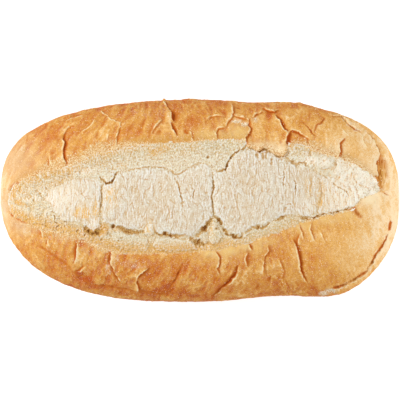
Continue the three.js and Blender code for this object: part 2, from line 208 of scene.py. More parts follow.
# a crack's curled edge is to the left of the way along its points (1), to the right (-1) or missing (0)
crustCracks = {
    "backLeftGash": crack(1.5, 2.2, -1, (65, 131), (63, 139), (65.3, 142), (63.5, 150), (63.2, 153),
        (64.6, 159), (66.5, 165)),
    "backLeftRidge": crack(0.6, 0.8, 1, (94.7, 118), (87, 127), (81.4, 130), (76.5, 136)),
    "leftWrinkle": crack(0.9, 0.8, 1, (47.7, 155), (48.4, 166)),
    "leftRimNotch": crack(1, 1, 0, (46.5, 121), (45, 126.5)),
    "leftShoulderNotch": crack(0.8, 0.8, 0, (28, 134), (25, 144)),
    "backLeftFlake": crack(1, 0.9, 1, (84, 115), (70, 118), (54.7, 123.7)),
    "backMiddleTop": crack(1.1, 1.4, -1, (162.5, 98.5), (166, 104), (170, 109.6), (172, 111)),
    "backMiddleGash": crack(2.6, 2.2, -1, (171.4, 109.6), (172.8, 112.6), (173.4, 117), (172.6, 121)),
    "backMiddleFoot": crack(2.0, 2.2, -1, (170.6, 121.6), (172.4, 126), (174.4, 131), (177, 136)),
    "backFlakeEdge": crack(0.7, 0.8, -1, (100, 109), (103, 112), (108, 115.5)),
    "backLongFlake": crack(0.8, 0.9, -1, (121, 121), (119.6, 128), (117.5, 135), (116, 146)),
    "backFlakeTop": crack(0.6, 0.7, -1, (108, 115.5), (111, 119), (120.8, 121.7)),
    "leftFoldNear": crack(0.6, 0.7, -1, (70.5, 125.5), (66, 130), (64, 133.5)),
    "leftFoldFar": crack(2.6, 0.5, 0, (54, 132), (57, 139), (60, 146)),
    "backFoldA": crack(2.4, 0.75, 0, (145.6, 117), (142.5, 122), (140, 128), (139, 133)),
    "backFoldB": crack(2.4, 0.75, 0, (134.5, 119.5), (131, 125), (128.5, 130), (127, 136)),
    "backFoldC": crack(2.4, 0.75, 0, (151, 127), (148.6, 133), (148, 139)),
    "backFoldD": crack(2.4, 0.75, 0, (88, 138), (84.5, 145), (83, 151)),
    "backFoldE": crack(2.4, 0.75, 0, (98, 131), (94, 138), (92, 144)),
    "backFoldF": crack(2.4, 0.75, 0, (78, 142), (75, 149), (74, 155)),
    "leftFoldLow": crack(2.4, 0.75, 0, (53, 146), (51.5, 153), (52, 161)),
    "rightCrease": crack(2.0, 1.9, 0, (346, 208.6), (352, 207), (356, 211.8), (359.5, 216), (363, 215.3)),
    "backWrinkleLeft": crack(0.5, 0.6, -1, (110, 128), (108.5, 135), (107, 141)),
    "backWrinkleMiddle": crack(1.6, 0.9, -1, (162.6, 119.5), (157.6, 124.6), (153.6, 130), (153, 135)),
    "backWrinkleSmall": crack(2.4, 0.9, 0, (160, 128), (158, 132), (157, 136)),
    "backDimple": crack(2.4, 1.2, 0, (184, 129), (186, 132), (187.4, 134.4)),
    "backPaleRidge": crack(1.2, 0.8, -1, (190.5, 130), (192.5, 135), (193, 141)),
    "netLeftRung": crack(0.8, 0.9, 1, (203, 124), (205, 121), (210.5, 116.7), (217.5, 115.3), (226.7, 116),
        (231, 117.5)),
    "netMain": crack(1.0, 1.1, -1, (231.5, 103), (233, 107.5), (233.7, 112.5), (231, 118), (228, 121.6),
        (225.3, 128)),
    "netHook": crack(1.2, 1.1, -1, (225.3, 127.5), (218, 128.5), (216, 132), (217.5, 140)),
    "netRightLeg": crack(1, 1.6, -1, (249, 116), (248.4, 125), (251, 128), (249, 133.5), (245.6, 137.7),
        (246.3, 146)),
    "netSprig": crack(1.1, 1.2, 1, (252.5, 117), (255.5, 114.6), (259, 113), (263, 111.5)),
    "tornTop": crack(0.9, 1.0, 1, (230.5, 113), (234, 115.8), (239, 117.4), (244, 118.2), (249, 120.5)),
    "netTopDash": crack(0.9, 1.2, 0, (234, 106.5), (240, 108.6)),
    "netCrown": crack(1.4, 1.8, 1, (262.5, 107.5), (265, 109.6), (270, 111), (274.4, 111.8),
        (278.5, 108.6)),
    "netDeepLeg": crack(1.7, 2.2, -1, (274.4, 113.6), (279.3, 118.8), (282.8, 125), (284.5, 128.5),
        (288, 131.5)),
    "panelTop": crack(1.1, 1.8, -1, (305, 136), (298, 132), (292.6, 130.4), (287.7, 132)),
    "panelGap": crack(3.6, 2.8, -1, (290.5, 130), (289.4, 133), (288, 139), (287, 144.5)),
    "panelRight": crack(0.8, 1, 1, (302, 134), (307.5, 138.4), (308, 143.5)),
    "backRightLine": crack(0.5, 1.3, 0, (301, 120), (305.4, 124.4), (309, 128), (313, 134), (318, 136)),
    "backRightFork": crack(0.6, 1.5, 0, (318, 114.6), (323.7, 117.4), (322, 120.5), (316, 125), (314, 132)),
    "rightGash": crack(1.2, 1.7, -1, (345, 137), (339.8, 143), (340.5, 151), (337.5, 158.5)),
    "rightFine": crack(0.7, 0.8, -1, (363, 134), (363, 141), (367, 147)),
    "rightFaint": crack(0.4, 0.5, -1, (340.5, 127), (349, 136)),
    "endCapBack": crack(1.3, 1.3, 1, (328, 114.5), (335, 116), (341, 116), (345, 120.5), (348.5, 124.3),
        (355, 129), (362, 132)),
    "endCapEdge": crack(2.6, 1.8, -1, (364, 130.5), (369, 134), (374, 140), (378, 147), (380, 154),
        (381, 160)),
    "endCapGap": crack(10.0, 2.6, -1, (380.5, 155), (381.8, 164), (381.5, 172), (380, 182), (380.5, 192)),
    "endCapTail": crack(0.9, 1.2, -1, (380, 188), (382, 191), (385, 194), (388.5, 196)),
    "leftArc": crack(1.0, 0.9, 0, (7.6, 190.5), (9.6, 187), (13, 184.4), (20, 181.6)),
    "leftCrease": crack(1, 1.4, 0, (8, 210.5), (17.5, 218), (27, 222.6)),
    "frontLeftGash": crack(1.3, 1.6, 1, (77.5, 238), (75.8, 246), (75, 252), (74.4, 259), (73, 264)),
    "frontLeftRidge": crack(0.8, 1.3, 1, (85, 265), (78.6, 270), (73, 272.6)),
    "frontLeftWrinkle": crack(1, 0.9, 1, (39.5, 228), (42, 237)),
    "frontLeftSmall": crack(0.8, 0.7, 1, (47, 238), (45.5, 246.5)),
    "longSideCrease": crack(1.6, 0.9, 0, (30, 239), (42, 247.5), (59.6, 260), (66.7, 264.4), (73.7, 272),
        (84, 280)),
    "bottomCrease": crack(2.2, 1.3, 0, (80, 277), (90.5, 284.5), (110, 286.5), (129, 289), (138, 292)),
    "bottomCreaseRight": crack(2.4, 1.2, 0, (134, 289.5), (148, 292), (160, 293), (172, 291.5)),
    "frontFlourGash": crack(1.6, 1.6, 1, (111, 249), (109.6, 254), (108.8, 260), (109.8, 266)),
    "frontPaleFold": crack(2.2, 1.2, 1, (109.6, 264), (112, 270), (115, 275), (119, 281)),
    "frontFold": crack(1.6, 1.7, -1, (150, 267), (144, 271.6), (139, 276), (136.4, 279.4)),
    "frontFoldFoot": crack(1.4, 1.7, -1, (136.6, 279), (137.6, 284), (138.6, 288.6), (138.4, 293)),
    "frontThinGash": crack(0.6, 2.2, 0, (182.5, 262), (178.4, 271.4), (175.6, 278.4), (169, 289)),
    "frontLip": crack(1.2, 1.4, -1, (214.8, 250), (220, 256.7), (218.8, 263.7), (217.4, 268.6), (220, 275)),
    "frontDeepGash": crack(2.4, 2.2, 1, (237, 264), (236.3, 271.4), (232, 277), (227, 283), (220, 288),
        (212, 296)),
    "frontNick": crack(1.1, 1.2, -1, (248.6, 242.5), (252, 250)),
    "frontFlute": crack(1.3, 1.2, -1, (247.8, 252), (245.8, 259), (247.5, 267)),
    "frontFluteRight": crack(1.1, 1.2, -1, (267.5, 243.5), (269.3, 251), (265, 256), (263.7, 264),
        (263, 274)),
    "frontBranch": crack(0.9, 1, -1, (279, 258.5), (282.6, 268), (284.5, 272)),
    "frontBranchFoot": crack(1, 1, 0, (285.5, 270), (283, 275), (281.5, 279)),
    "frontDash": crack(1.3, 1.1, 0, (258, 282), (256, 290)),
    "frontDashRight": crack(1.3, 1.1, 0, (270, 275), (268.4, 282)),
    "frontRightGash": crack(1.4, 2, -1, (291.6, 237.5), (295.6, 243), (298.6, 252), (299.8, 260),
        (301, 270.7), (307, 283)),
    "frontRightHook": crack(0.9, 1, 1, (299, 233), (297, 239), (296.3, 245)),
    "frontRightFlute": crack(1.2, 1.1, -1, (298.6, 224), (302, 232), (303.4, 239)),
    "frontRightLine": crack(0.9, 0.9, -1, (311, 220.5), (310.4, 229), (315, 241)),
    "frontRightFaint": crack(0.5, 0.6, -1, (320, 231), (325.5, 243)),
    "endCapDash": crack(2.2, 1.8, 0, (390.4, 220), (389.6, 225), (388.4, 231)),
    "endCapFront": crack(1.4, 1.5, 1, (387.6, 233), (384.7, 240.5), (380.5, 248), (376, 253), (373, 258.5)),
    "endCapWide": crack(2.2, 2.0, 1, (376, 252), (373.5, 258), (370, 264), (366, 270)),
    "endCapFoot": crack(3.0, 2.0, 1, (368, 269), (360, 275), (353, 279.5), (347, 282.5), (342, 285)),
    "endCapBite": crack(3.6, 2.4, 1, (346, 283), (341, 285.6), (335, 287.2), (332, 287.6)),
}

crumbCracks = {
    "ledgeLeft": crack(0.75, 2.3, 0, (98, 176), (101.4, 178.4), (105.6, 183.3), (111, 182), (115.4, 173.5),
        (118, 170)),
    "ledgeLeftSpur": crack(0.35, 0.5, 0, (119, 170), (120.4, 173), (124.6, 181)),
    "ledgeMiddle": crack(0.42, 1.0, 0, (124, 171), (133.7, 168), (142, 167), (152.6, 166.5), (162, 166.8),
        (166, 168), (171.6, 170.7), (174.4, 173.5), (180, 173.5), (187.7, 167), (194.7, 163.7),
        (202, 162.3), (207, 161)),
    "ledgeRightHook": crack(0.5, 0.7, 0, (208, 161), (212, 167), (215.4, 170)),
    "ledgeRight": crack(0.75, 2.3, 0, (214.5, 169.5), (219, 170.6), (224.6, 169.3), (226.7, 163.7),
        (230, 157.4), (235, 151.8), (239.3, 149.6), (243.5, 148.2), (246.5, 144)),
    "flapFoot": crack(1.3, 2.4, 0, (246.5, 147), (254.7, 148.3), (259.6, 151), (263, 147.5), (267.4, 147.4),
        (274.4, 153.6), (278.6, 156), (285, 155.5)),
    "flapStreakA": crack(1.1, 1.2, 0, (255.6, 150), (256.4, 154), (257, 158)),
    "flapStreakB": crack(1.1, 1.3, 0, (260.8, 150), (262, 154), (262.6, 160)),
    "flapStreakC": crack(1.3, 1.4, 0, (266, 150), (265.4, 154), (265, 159)),
    "flapStreakD": crack(1.0, 1.1, 0, (272, 154), (271, 159), (270, 164)),
    "flapHole": crack(2.0, 1.0, 0, (264, 147.6), (266, 148.6), (268, 150)),
    "flapEnd": crack(0.5, 0.7, 0, (286.6, 148), (286, 151), (285, 154)),
    "flapTail": crack(1.3, 1.6, 0, (283.5, 155), (289.8, 160), (296, 164), (299, 162.6), (303.5, 162.4),
        (309, 167)),
    "flapFade": crack(0.45, 0.7, 0, (309, 166), (316, 171), (324, 176), (331, 181)),
    "seamLeft": crack(0.55, 1.4, 0, (103, 182), (101, 190), (101.5, 200), (99.6, 209), (100, 217)),
    "seamInner": crack(0.6, 1.5, 0, (175.5, 179), (179.3, 188), (180.7, 195), (181.4, 200), (182.4, 207)),
    "seamInnerRight": crack(0.35, 0.85, 0, (189.5, 183), (193.5, 189.6), (192.6, 197), (196, 206)),
    "seamMiddle": crack(0.7, 1.8, 0, (212, 171), (212.6, 181), (213.4, 188), (211, 195), (212.6, 206),
        (213, 217)),
    "seamRight": crack(0.3, 1.2, 0, (282.8, 170), (283.5, 176), (282.6, 186)),
    "seamFarRight": crack(0.4, 1.4, 0, (293, 176), (295.4, 183), (294.7, 195)),
    "archRight": crack(0.4, 1.0, 0, (283.6, 212), (286, 204.4), (290, 203), (293.6, 208)),
    "hollowLeft": crack(3.4, 4.4, 0, (83, 226), (88.4, 231.8), (92.6, 233), (98.2, 231.6), (103, 228)),
    "hollowRight": crack(3.0, 4.0, 0, (89, 232.6), (95, 233.4), (101, 230.6)),
    "grooveLeftHole": crack(1.6, 2.4, 0, (110, 225.5), (114.5, 227.3)),
    "grooveLeft": crack(2.0, 2.8, 0, (114, 226), (119.5, 227), (123.7, 230), (129, 231.4), (135, 232),
        (140.5, 232), (144, 229.6)),
    "grooveMiddle": crack(1.7, 2.5, 0, (154, 231.5), (160, 235), (164.4, 233.4), (169, 235), (177, 236),
        (184, 235)),
    "grooveWide": crack(2.8, 2.4, 0, (189, 236.5), (193, 239.6), (197, 242), (204, 244), (210, 243)),
    "wedgeLeft": crack(2.8, 2.2, 0, (213, 215), (211, 218), (206.8, 224.4), (202, 229.3), (198, 234),
        (194, 238)),
    "wedgeRight": crack(1.1, 2.2, 0, (213, 215.5), (216, 217), (220, 221.6), (222.3, 228), (226, 233),
        (229, 236)),
    "grooveCentre": crack(1.5, 2.6, 0, (228, 234), (232, 235), (235, 236.4), (239, 237.4), (243, 235)),
    "grooveRightGap": crack(0.9, 1.5, 0, (246, 232), (250, 228.5), (254.6, 226.3)),
    "grooveRight": crack(1.6, 2.6, 0, (253, 226.5), (261, 227.4), (265.8, 225.4), (270, 222)),
    "grooveRightStep": crack(1, 1.8, 0, (272, 221), (275, 220), (281, 217), (287, 216)),
    "grooveFarRight": crack(1.4, 2.4, 0, (297, 215.5), (302, 217.4), (307.5, 218.4), (313, 218),
        (319.5, 214.5), (328, 213.2)),
    "grooveTail": crack(1, 2, 0, (327, 213.3), (339, 211.2), (346, 209), (355, 206), (358, 203)),
    "ledgeSpurs": crack(0.35, 0.5, 0, (218, 142), (217, 148), (219, 153)),
    "leftTear": crack(0.7, 0.9, 0, (34, 189), (39, 192), (41, 197)),
    "leftPlateTear": crack(0.35, 0.5, 0, (79.5, 188), (81, 193), (86, 199)),
    "rightTear": crack(0.6, 0.8, 0, (330, 181), (338, 187), (345, 190), (349, 196)),
}

crumbPlates = {
    "left": plate(0.7, (45, 196), (50, 188), (60, 184), (72, 178.5), (84, 177), (96, 178), (101, 182),
        (100.5, 195), (99, 214), (100, 224), (97, 229), (92, 230.4), (88, 229), (84, 224.5), (76, 222),
        (66, 221), (58, 216), (50, 208)),
    "middle": plate(0.9, (103, 184), (111, 182), (118, 172), (126, 171), (142, 167.5), (162, 167.3),
        (171.6, 171.2), (177, 174.5), (187.7, 167.8), (194.7, 164.4), (204.6, 162.4), (211, 167),
        (212, 174), (212.6, 188), (211, 195), (212.5, 215), (206.8, 223), (202, 228), (191, 236.5),
        (177, 235), (160, 233.5), (143, 229.8), (123.7, 228.6), (113, 225), (102, 222), (100.5, 215),
        (101.6, 195)),
    "right": plate(1.0, (213, 171.5), (224.6, 170.3), (227.4, 164.5), (230.8, 158.4), (235.6, 153),
        (243.5, 149.4), (254.7, 149.3), (263, 149.5), (274, 155), (281, 157.5), (289.8, 161.5),
        (296, 165.3), (303, 164), (310, 169), (321, 175), (322, 190), (317, 212), (308, 216.6),
        (297, 214.5), (286, 215), (275, 218.6), (265.8, 223.6), (254.6, 225), (246, 230.6), (239, 235),
        (232, 233), (224, 228), (220.8, 221), (215.6, 216), (213.4, 213), (212.2, 200)),
    "farRight": plate(0.9, (314, 172), (321, 175), (333, 177), (343, 182), (350, 188), (356, 192),
        (357, 198), (353, 205), (339, 209.6), (328, 212), (319, 213), (316, 210), (321, 195)),
}

crumbFlakes = {
    "panelFlake": plate(0.5, (289, 148), (300, 148.6), (309, 151), (310, 157), (303, 161), (296, 161.6),
        (289.6, 157)),
    "ridgeFlake": plate(0.8, (311, 150), (322, 153), (334, 159), (333, 166), (324, 169), (314, 165),
        (309, 158)),
    "rightFlake": plate(0.9, (336, 160), (346, 163), (353, 168), (350, 177), (342, 179), (333, 172)),
    "farFlake": plate(1.0, (354, 166), (365, 171), (374, 177), (377, 185), (367, 187), (356, 182),
        (352, 174)),
    "tipFlake": plate(0.7, (358, 185), (368, 188), (377, 187.6), (380, 192), (370, 195), (360, 198),
        (355, 193)),
    "edgeFlake": plate(0.9, (347, 181), (354, 186), (358, 193), (358, 201), (354, 204), (352, 195)),
    "puffLeft": plate(0.8, (112, 230), (124, 233), (136, 235), (146, 237), (149, 244), (146, 251),
        (130, 251), (116, 248), (109, 240)),
    "puffMiddle": plate(1.0, (156, 237), (166, 236.6), (176, 238), (186, 238.6), (194, 243), (197, 249),
        (188, 251), (170, 251.6), (156, 250), (151, 244)),
    "wedgeLump": plate(1.4, (213, 220), (216, 222), (219, 230), (222, 236), (217, 243), (212, 244),
        (208, 240), (209, 230)),
    "strand": plate(1.2, (241, 238), (243, 234.6), (248, 230.8), (249.4, 232.4), (245, 236.8)),
    "grooveLump": plate(1.4, (147, 221), (153, 220.6), (155, 226), (153.6, 233), (148, 236), (142.6, 234),
        (143.6, 226)),
}

# how a crack's path is laid on the loaf, in millimetres
crackPath = {
    "step": 0.5,
    "fewest": 4,            # points of the shortest path
    "lumps": (1.7, 1, 1),   # size of its wander
    "crossSeed": 40,        # between the seeds of the wander along and across
    "rimShare": 0.985,      # the path stays within this share of the section
}


def pathOnLoaf(pixels, wander, seed):
    # the crack's path in short steps, with a small wander, laid on the upper surface
    corners = fromPhoto(pixels)
    lengths = np.hypot(*np.diff(corners, axis=0).T)
    stops = np.concatenate([[0], np.cumsum(lengths)])
    steps = np.linspace(0, stops[-1], max(crackPath["fewest"], int(stops[-1] / crackPath["step"])))
    plan = np.column_stack([np.interp(steps, stops, each) for each in corners.T])
    plan[:, 0] += wander * noiseAt(asLine(steps), crackPath["lumps"], seed)
    plan[:, 1] += wander * noiseAt(asLine(steps), crackPath["lumps"], seed + crackPath["crossSeed"])
    _, _, middle, half = sectionAt(plan[:, 0])
    room = crackPath["rimShare"] * half
    plan[:, 1] = np.clip(plan[:, 1], middle - room, middle + room)
    return np.column_stack([plan, topHeight(*plan.T)]), steps / stops[-1], stops[-1]


def crackDistance(points, path, shares, reach):
    # for the points within reach: their index, distance, side and share of the way along the path
    low, high = path.min(axis=0) - reach, path.max(axis=0) + reach
    near = np.flatnonzero(np.all((points > low) & (points < high), axis=1))
    found = points[near]
    best = np.full(len(near), np.inf)
    side = np.zeros(len(near))
    share = np.zeros(len(near))
    for start, end, shareStart, shareEnd in zip(path[:-1], path[1:], shares[:-1], shares[1:]):
        run = end - start
        away = found - start
        t = np.clip(away @ run / max(run @ run, tiny), 0, 1)
        distance = np.linalg.norm(away - t[:, None] * run, axis=1)
        closer = distance < best
        best[closer] = distance[closer]
        side[closer] = np.sign(run[0] * away[closer, 1] - run[1] * away[closer, 0])
        share[closer] = (shareStart + (shareEnd - shareStart) * t)[closer]
    kept = best < reach
    return near[kept], best[kept], side[kept], share[kept]


# what all cracks share: sizes in millimetres, and lumps with a size and a seed
crackForm = {
    "raggedLumps": ((1.1, 1.1, 1.1), 31),
    "gapLumps": ((3.0, 0.37, 1), 33),
    "wearLumps": ((2.2, 0.37, 1), 35),   # the curled edge comes and goes
    "wear": 0.85,
    "wearSwing": 0.9,
    "wearLimits": (0.35, 1.2),
    "openWear": 0.7,                     # least wear where no edge is curled
    # how dark the painted shade of a crack is, and how its low side with that shade runs out
    "toneLimits": (0.25, 1),
    "edgeStart": -0.05,
    "flakeStart": -0.1,
    "runOut": 1.5,                       # how far the low side runs out, against half the gap
    "runOutPower": 1.6,
    "slopeLimits": (0.35, 1),            # the gaps between which the slopes of an open crack widen
    "floorShare": 0.5,
}

# how cracks open in the crust and in the crumb, in millimetres
crustCrackWay = {
    "reach": 8.0, "wander": 0.42, "ragged": 0.34, "uneven": 0.8, "taper": 0.4,
    "gapShare": 0.95, "depthShare": 0.34,
    "edge": 0.35,            # width of the sharp drop
    "recover": 1.7,          # how far beyond the gap its low side runs out
    "liftHeight": 0.8, "liftReach": 2.6,
    # where the painted highlight of a curled edge lies, and its width; the depth with the darkest painted
    # shade
    "highlightAt": 0.45, "highlightWidth": 0.52,
    "fullDepth": 2.0,        # the depth that looks darkest
}
crumbCrackWay = {
    "reach": 5.0, "wander": 0.5, "ragged": 0.65, "uneven": 1.0, "taper": 0.4,
    "gapShare": 1.15, "depthShare": 0.55,
    "edge": 0.3, "recover": 1.0, "liftHeight": 0.0, "liftReach": 1.0, "highlightAt": 0.4, "highlightWidth": 0.4,
    "fullDepth": 2.4,
}


def crackFields(points, cracks, way):
    # all cracks at each point: groove depth, lift of the curled edge, painted shade of the gap and painted
    # highlight of the edge
    form = crackForm
    groove, lift, dark, pale = (np.zeros(len(points)) for _ in range(4))
    ragged = way["ragged"] * noiseAt(points, *form["raggedLumps"])

    def keepMost(field, index, values):
        field[index] = np.maximum(field[index], values)

    for seed, each in enumerate(cracks.values()):
        path, shares, length = pathOnLoaf(each["pixels"], way["wander"], seed)
        index, distance, side, share = crackDistance(points, path, shares, way["reach"])
        taper = (4 * share * (1 - share)) ** way["taper"]
        along = np.column_stack([share * length, np.full_like(share, seed), np.zeros_like(share)])
        swing = 1 + way["uneven"] * noiseAt(along, *form["gapLumps"])
        halfGap = way["gapShare"] * each["gap"] / 2 * taper * swing
        wear = form["wear"] + form["wearSwing"] * noiseAt(along, *form["wearLumps"])
        wear = np.clip(wear, *form["wearLimits"])
        curl = each["rim"]
        if curl:
            into = halfGap - distance * side * curl + ragged[index]   # from the curled edge into the gap
            # beyond the gap the low side, with the painted shadow of the curled edge, runs out
            beyond = np.clip((into - halfGap) / (form["runOut"] * halfGap + way["recover"]), 0, 1)
            shape = ease(into, form["edgeStart"], way["edge"]) * (1 - beyond) ** form["runOutPower"]
            onFlake = 1 - ease(into, form["flakeStart"], way["edge"])
            height = way["liftHeight"] * min(1, each["depth"])
            rise = height * np.exp(-np.clip(-into, 0, None) / way["liftReach"])
            keepMost(lift, index, taper * wear * rise * onFlake)
            # painted highlight along the curled edge
            keepMost(pale, index, taper * wear * bell((into + way["highlightAt"]) / way["highlightWidth"]))
        else:
            slope = way["recover"] * np.clip(each["gap"], *form["slopeLimits"])
            floor = form["floorShare"] * each["gap"]
            into = halfGap - distance + ragged[index]   # from either edge into the gap
            shape = np.maximum(wear, form["openWear"]) * ease(into, -slope, floor)
        tone = np.clip(each["depth"] / way["fullDepth"], *form["toneLimits"])
        keepMost(groove, index, way["depthShare"] * each["depth"] * taper * shape)
        # painted shade in the gap and on its low side
        keepMost(dark, index, tone * taper * shape)
    return groove, lift, dark, pale


def insidePlate(plan, pixels):
    # distance to the plate's outline, positive inside it
    corners = fromPhoto(pixels)
    following = np.roll(corners, -1, axis=0)
    best = np.full(len(plan), np.inf)
    inside = np.zeros(len(plan), bool)
    for start, end in zip(corners, following):
        run = end - start
        away = plan - start
        t = np.clip(away @ run / (run @ run), 0, 1)
        best = np.minimum(best, np.linalg.norm(away - t[:, None] * run, axis=1))
        crosses = (start[1] > plan[:, 1]) != (end[1] > plan[:, 1])
        rise = run[1] if run[1] else tiny
        inside ^= crosses & (plan[:, 0] < start[0] + run[0] * (plan[:, 1] - start[1]) / rise)
    return np.where(inside, best, -best)


def cellsAt(plan, size, seed):
    # how far each point lies from the nearest of one random spot per cell, and from the seams between them
    scaled = plan / size
    low = np.floor(scaled.min(axis=0)).astype(int) - 1
    cell = np.floor(scaled).astype(int) - low
    spots = np.random.default_rng(seed).random((*(cell.max(axis=0) + 2), 2))
    best = np.full(len(plan), np.inf)
    second = np.full(len(plan), np.inf)
    for right in (-1, 0, 1):
        for up in (-1, 0, 1):
            near = cell + [right, up]
            away = np.hypot(*(near + low + spots[near[:, 0], near[:, 1]] - scaled).T)
            second = np.minimum(second, np.maximum(best, away))
            best = np.minimum(best, away)
    return best, second - best


steepSpread = 4.0   # how much further a place reaches down a steep side, pixels


def patchField(points, patches):
    # soft-edged places on the loaf: photo point, spread along and across in pixels, and strength
    total = np.zeros(len(points))
    for *centre, wide, tall, strength in patches:
        middle = fromPhoto([centre])
        away = points - np.append(middle, topHeight(*middle.T))
        away /= np.array([wide, tall, steepSpread + (wide + tall)]) * mmPerPixel
        total = np.maximum(total, strength * np.exp(-np.sum(away ** 2, axis=1)))
    return total


# moves the loaf across, so that its box is over the frame's origin
outline = np.linspace(-halfLength, halfLength, loafForm["outlineSteps"])
furthest = {side: sideReach(loafForm[side], outline).max() for side in ("back", "front")}
middleShift = (furthest["front"] - furthest["back"]) / 2


def soften(field, steps):
    # running mean of a grid over so many cells each way
    for axis, reach in enumerate(steps):
        size = 2 * reach + 1
        count = field.shape[axis]
        padding = [(0, 0), (0, 0)]
        padding[axis] = (reach + 1, reach)
        total = np.cumsum(np.pad(field, padding, mode="edge"), axis=axis)
        field = (total.take(range(size, size + count), axis) - total.take(range(count), axis)) / size
    return field


def gridNormals(grid):
    # normals of a grid of points, from its neighbours along and across
    normals = np.cross(np.gradient(grid, axis=0), np.gradient(grid, axis=1))
    return normals / np.maximum(np.linalg.norm(normals, axis=2, keepdims=True), tiny)


def newPiece(name, points, normals, quads, triangles, attributes, material):
    # a plain mesh in metres, with one float attribute for each named array
    mesh = bpy.data.meshes.new(name)
    sizes = np.concatenate([np.full(len(quads), 4), np.full(len(triangles), 3)])
    corners = np.concatenate([quads.ravel(), triangles.ravel()])
    mesh.vertices.add(len(points))
    mesh.vertices.foreach_set("co", ((points + [0, middleShift, 0]) * mm).ravel())
    mesh.loops.add(len(corners))
    mesh.loops.foreach_set("vertex_index", corners.astype(np.int32))
    mesh.polygons.add(len(sizes))
    mesh.polygons.foreach_set("loop_start", np.concatenate([[0], np.cumsum(sizes)[:-1]]).astype(np.int32))
    mesh.polygons.foreach_set("use_smooth", np.ones(len(sizes), bool))
    mesh.update(calc_edges=True)
    for key, values in attributes.items():
        layer = mesh.attributes.new(key, "FLOAT", "POINT")
        layer.data.foreach_set("value", np.asarray(values, np.float32))
    mesh.normals_split_custom_set_from_vertices(normals.tolist())
    mesh.materials.append(material)
    piece = bpy.data.objects.new(name, mesh)
    scene.collection.objects.link(piece)
    print("%s: %d triangles" % (name, 2 * len(quads) + len(triangles)))
    return piece


def tint(red, green, blue):
    # display colour, 0 to 255, as the linear colour that shaders use
    def linear(value):
        value /= 255
        return value / 12.92 if value <= 0.04045 else ((value + 0.055) / 1.055) ** 2.4
    return linear(red), linear(green), linear(blue), 1.0


def addNode(tree, kind, sockets, **settings):
    # a node with its settings, each socket given a value, an output of another node or a list of these
    node = tree.nodes.new(kind)
    for key, value in settings.items():
        setattr(node, key, value)
    for key, value in sockets.items():
        for source in value if isinstance(value, list) else [value]:
            if isinstance(source, bpy.types.NodeSocket):
                tree.links.new(source, node.inputs[key])
            else:
                node.inputs[key].default_value = source
    return node


class Finish:
    # a material with its Principled shader, and short ways to add nodes
    def __init__(self, name, constants):
        self.material = bpy.data.materials.new(name)
        self.material.use_nodes = True
        self.tree = self.material.node_tree
        self.shader = next(n for n in self.tree.nodes if n.type == "BSDF_PRINCIPLED")
        for socket, value in constants.items():
            self.shader.inputs[socket].default_value = value
        self.place = self.add("ShaderNodeTexCoord", {})["Object"]

    def add(self, kind, sockets, **settings):
        return addNode(self.tree, kind, sockets, **settings).outputs

    def attribute(self, name):
        return self.add("ShaderNodeAttribute", {}, attribute_name=name)["Fac"]

    def noise(self, sizes, detail=2.0, roughness=0.5):
        # lumps of the given millimetres, in object coordinates
        scale = tuple(1 / (size * mm) for size in sizes)
        place = self.add("ShaderNodeMapping", {"Vector": self.place, "Scale": scale})["Vector"]
        lumps = {"Vector": place, "Scale": 1.0, "Detail": detail, "Roughness": roughness}
        return self.add("ShaderNodeTexNoise", lumps)["Fac"]

    def math(self, operation, first, second):
        return self.add("ShaderNodeMath", {0: first, 1: second}, operation=operation)["Value"]

    def between(self, value, low, high, toLow=0.0, toHigh=1.0):
        # smooth step from toLow to toHigh as value passes from low to high
        limits = {"Value": value, "From Min": low, "From Max": high, "To Min": toLow, "To Max": toHigh}
        return self.add("ShaderNodeMapRange", limits, interpolation_type="SMOOTHSTEP")["Result"]

    def uneven(self, value, texture, low, high, swing):
        # value shifted by up to swing either way, as the texture passes from low to high
        return self.math("ADD", value, self.between(texture, low, high, -swing, swing))

    def mix(self, amount, first, second):
        # sockets 6 and 7 are the node's two colours, and output 2 is their mix
        return self.add("ShaderNodeMix", {0: amount, 6: first, 7: second}, data_type="RGBA")[2]

    def ramp(self, value, stops):
        node = addNode(self.tree, "ShaderNodeValToRGB", {"Fac": value})
        while len(node.color_ramp.elements) < len(stops):
            node.color_ramp.elements.new(1.0)
        for element, (position, colour) in zip(node.color_ramp.elements, stops):
            element.position = position
            element.color = colour
        return node.outputs["Color"]

    def bump(self, height, distance, strength=1.0):
        # height from 0 to 1, over distance millimetres, on top of earlier bumps
        sockets = {"Height": height, "Distance": distance * mm, "Strength": strength}
        normal = self.shader.inputs["Normal"]
        if normal.is_linked:
            sockets["Normal"] = normal.links[0].from_socket
        self.tree.links.new(self.add("ShaderNodeBump", sockets)["Normal"], normal)

    def colour(self, socket):
        self.tree.links.new(socket, self.shader.inputs["Base Color"])


crustLook = {
    "palest": tint(250, 222, 182),
    "pale": tint(241, 208, 158),
    "light": tint(236, 183, 105),
    "golden": tint(220, 155, 70),
    "brown": tint(208, 118, 42),
    "chestnut": tint(188, 84, 26),
    "amber": tint(205, 150, 70),
    "rosy": tint(206, 173, 143),
    "creamy": tint(251, 229, 186),
    "sunny": tint(240, 206, 134),
    "fleck": tint(244, 219, 180),
    "flour": tint(240, 226, 204),
    # painted highlight of the curled crack edges
    "edge": tint(247, 226, 176),
    # painted shade in the cracks and beside them
    "crackSide": tint(200, 112, 42),
    "crackDeep": tint(176, 80, 26),
    # paler painted shade where crumb strands show in a gap
    "gapPale": tint(250, 214, 152),
    "gapGold": tint(222, 166, 88),
    "gapBrown": tint(176, 110, 46),
    "crumb": tint(245, 226, 184),
    "toastedCrumbAndHollowShade": tint(208, 152, 80),
    "tornCrumb": tint(246, 232, 206),
    "shader": {"Roughness": 0.5, "Specular IOR Level": 0.008, "Specular Tint": tint(255, 196, 120)},
    "bakeStops": [(0.0, "palest"), (0.14, "pale"), (0.3, "light"), (0.5, "golden"), (0.75, "brown"),
                  (1.0, "chestnut")],
}

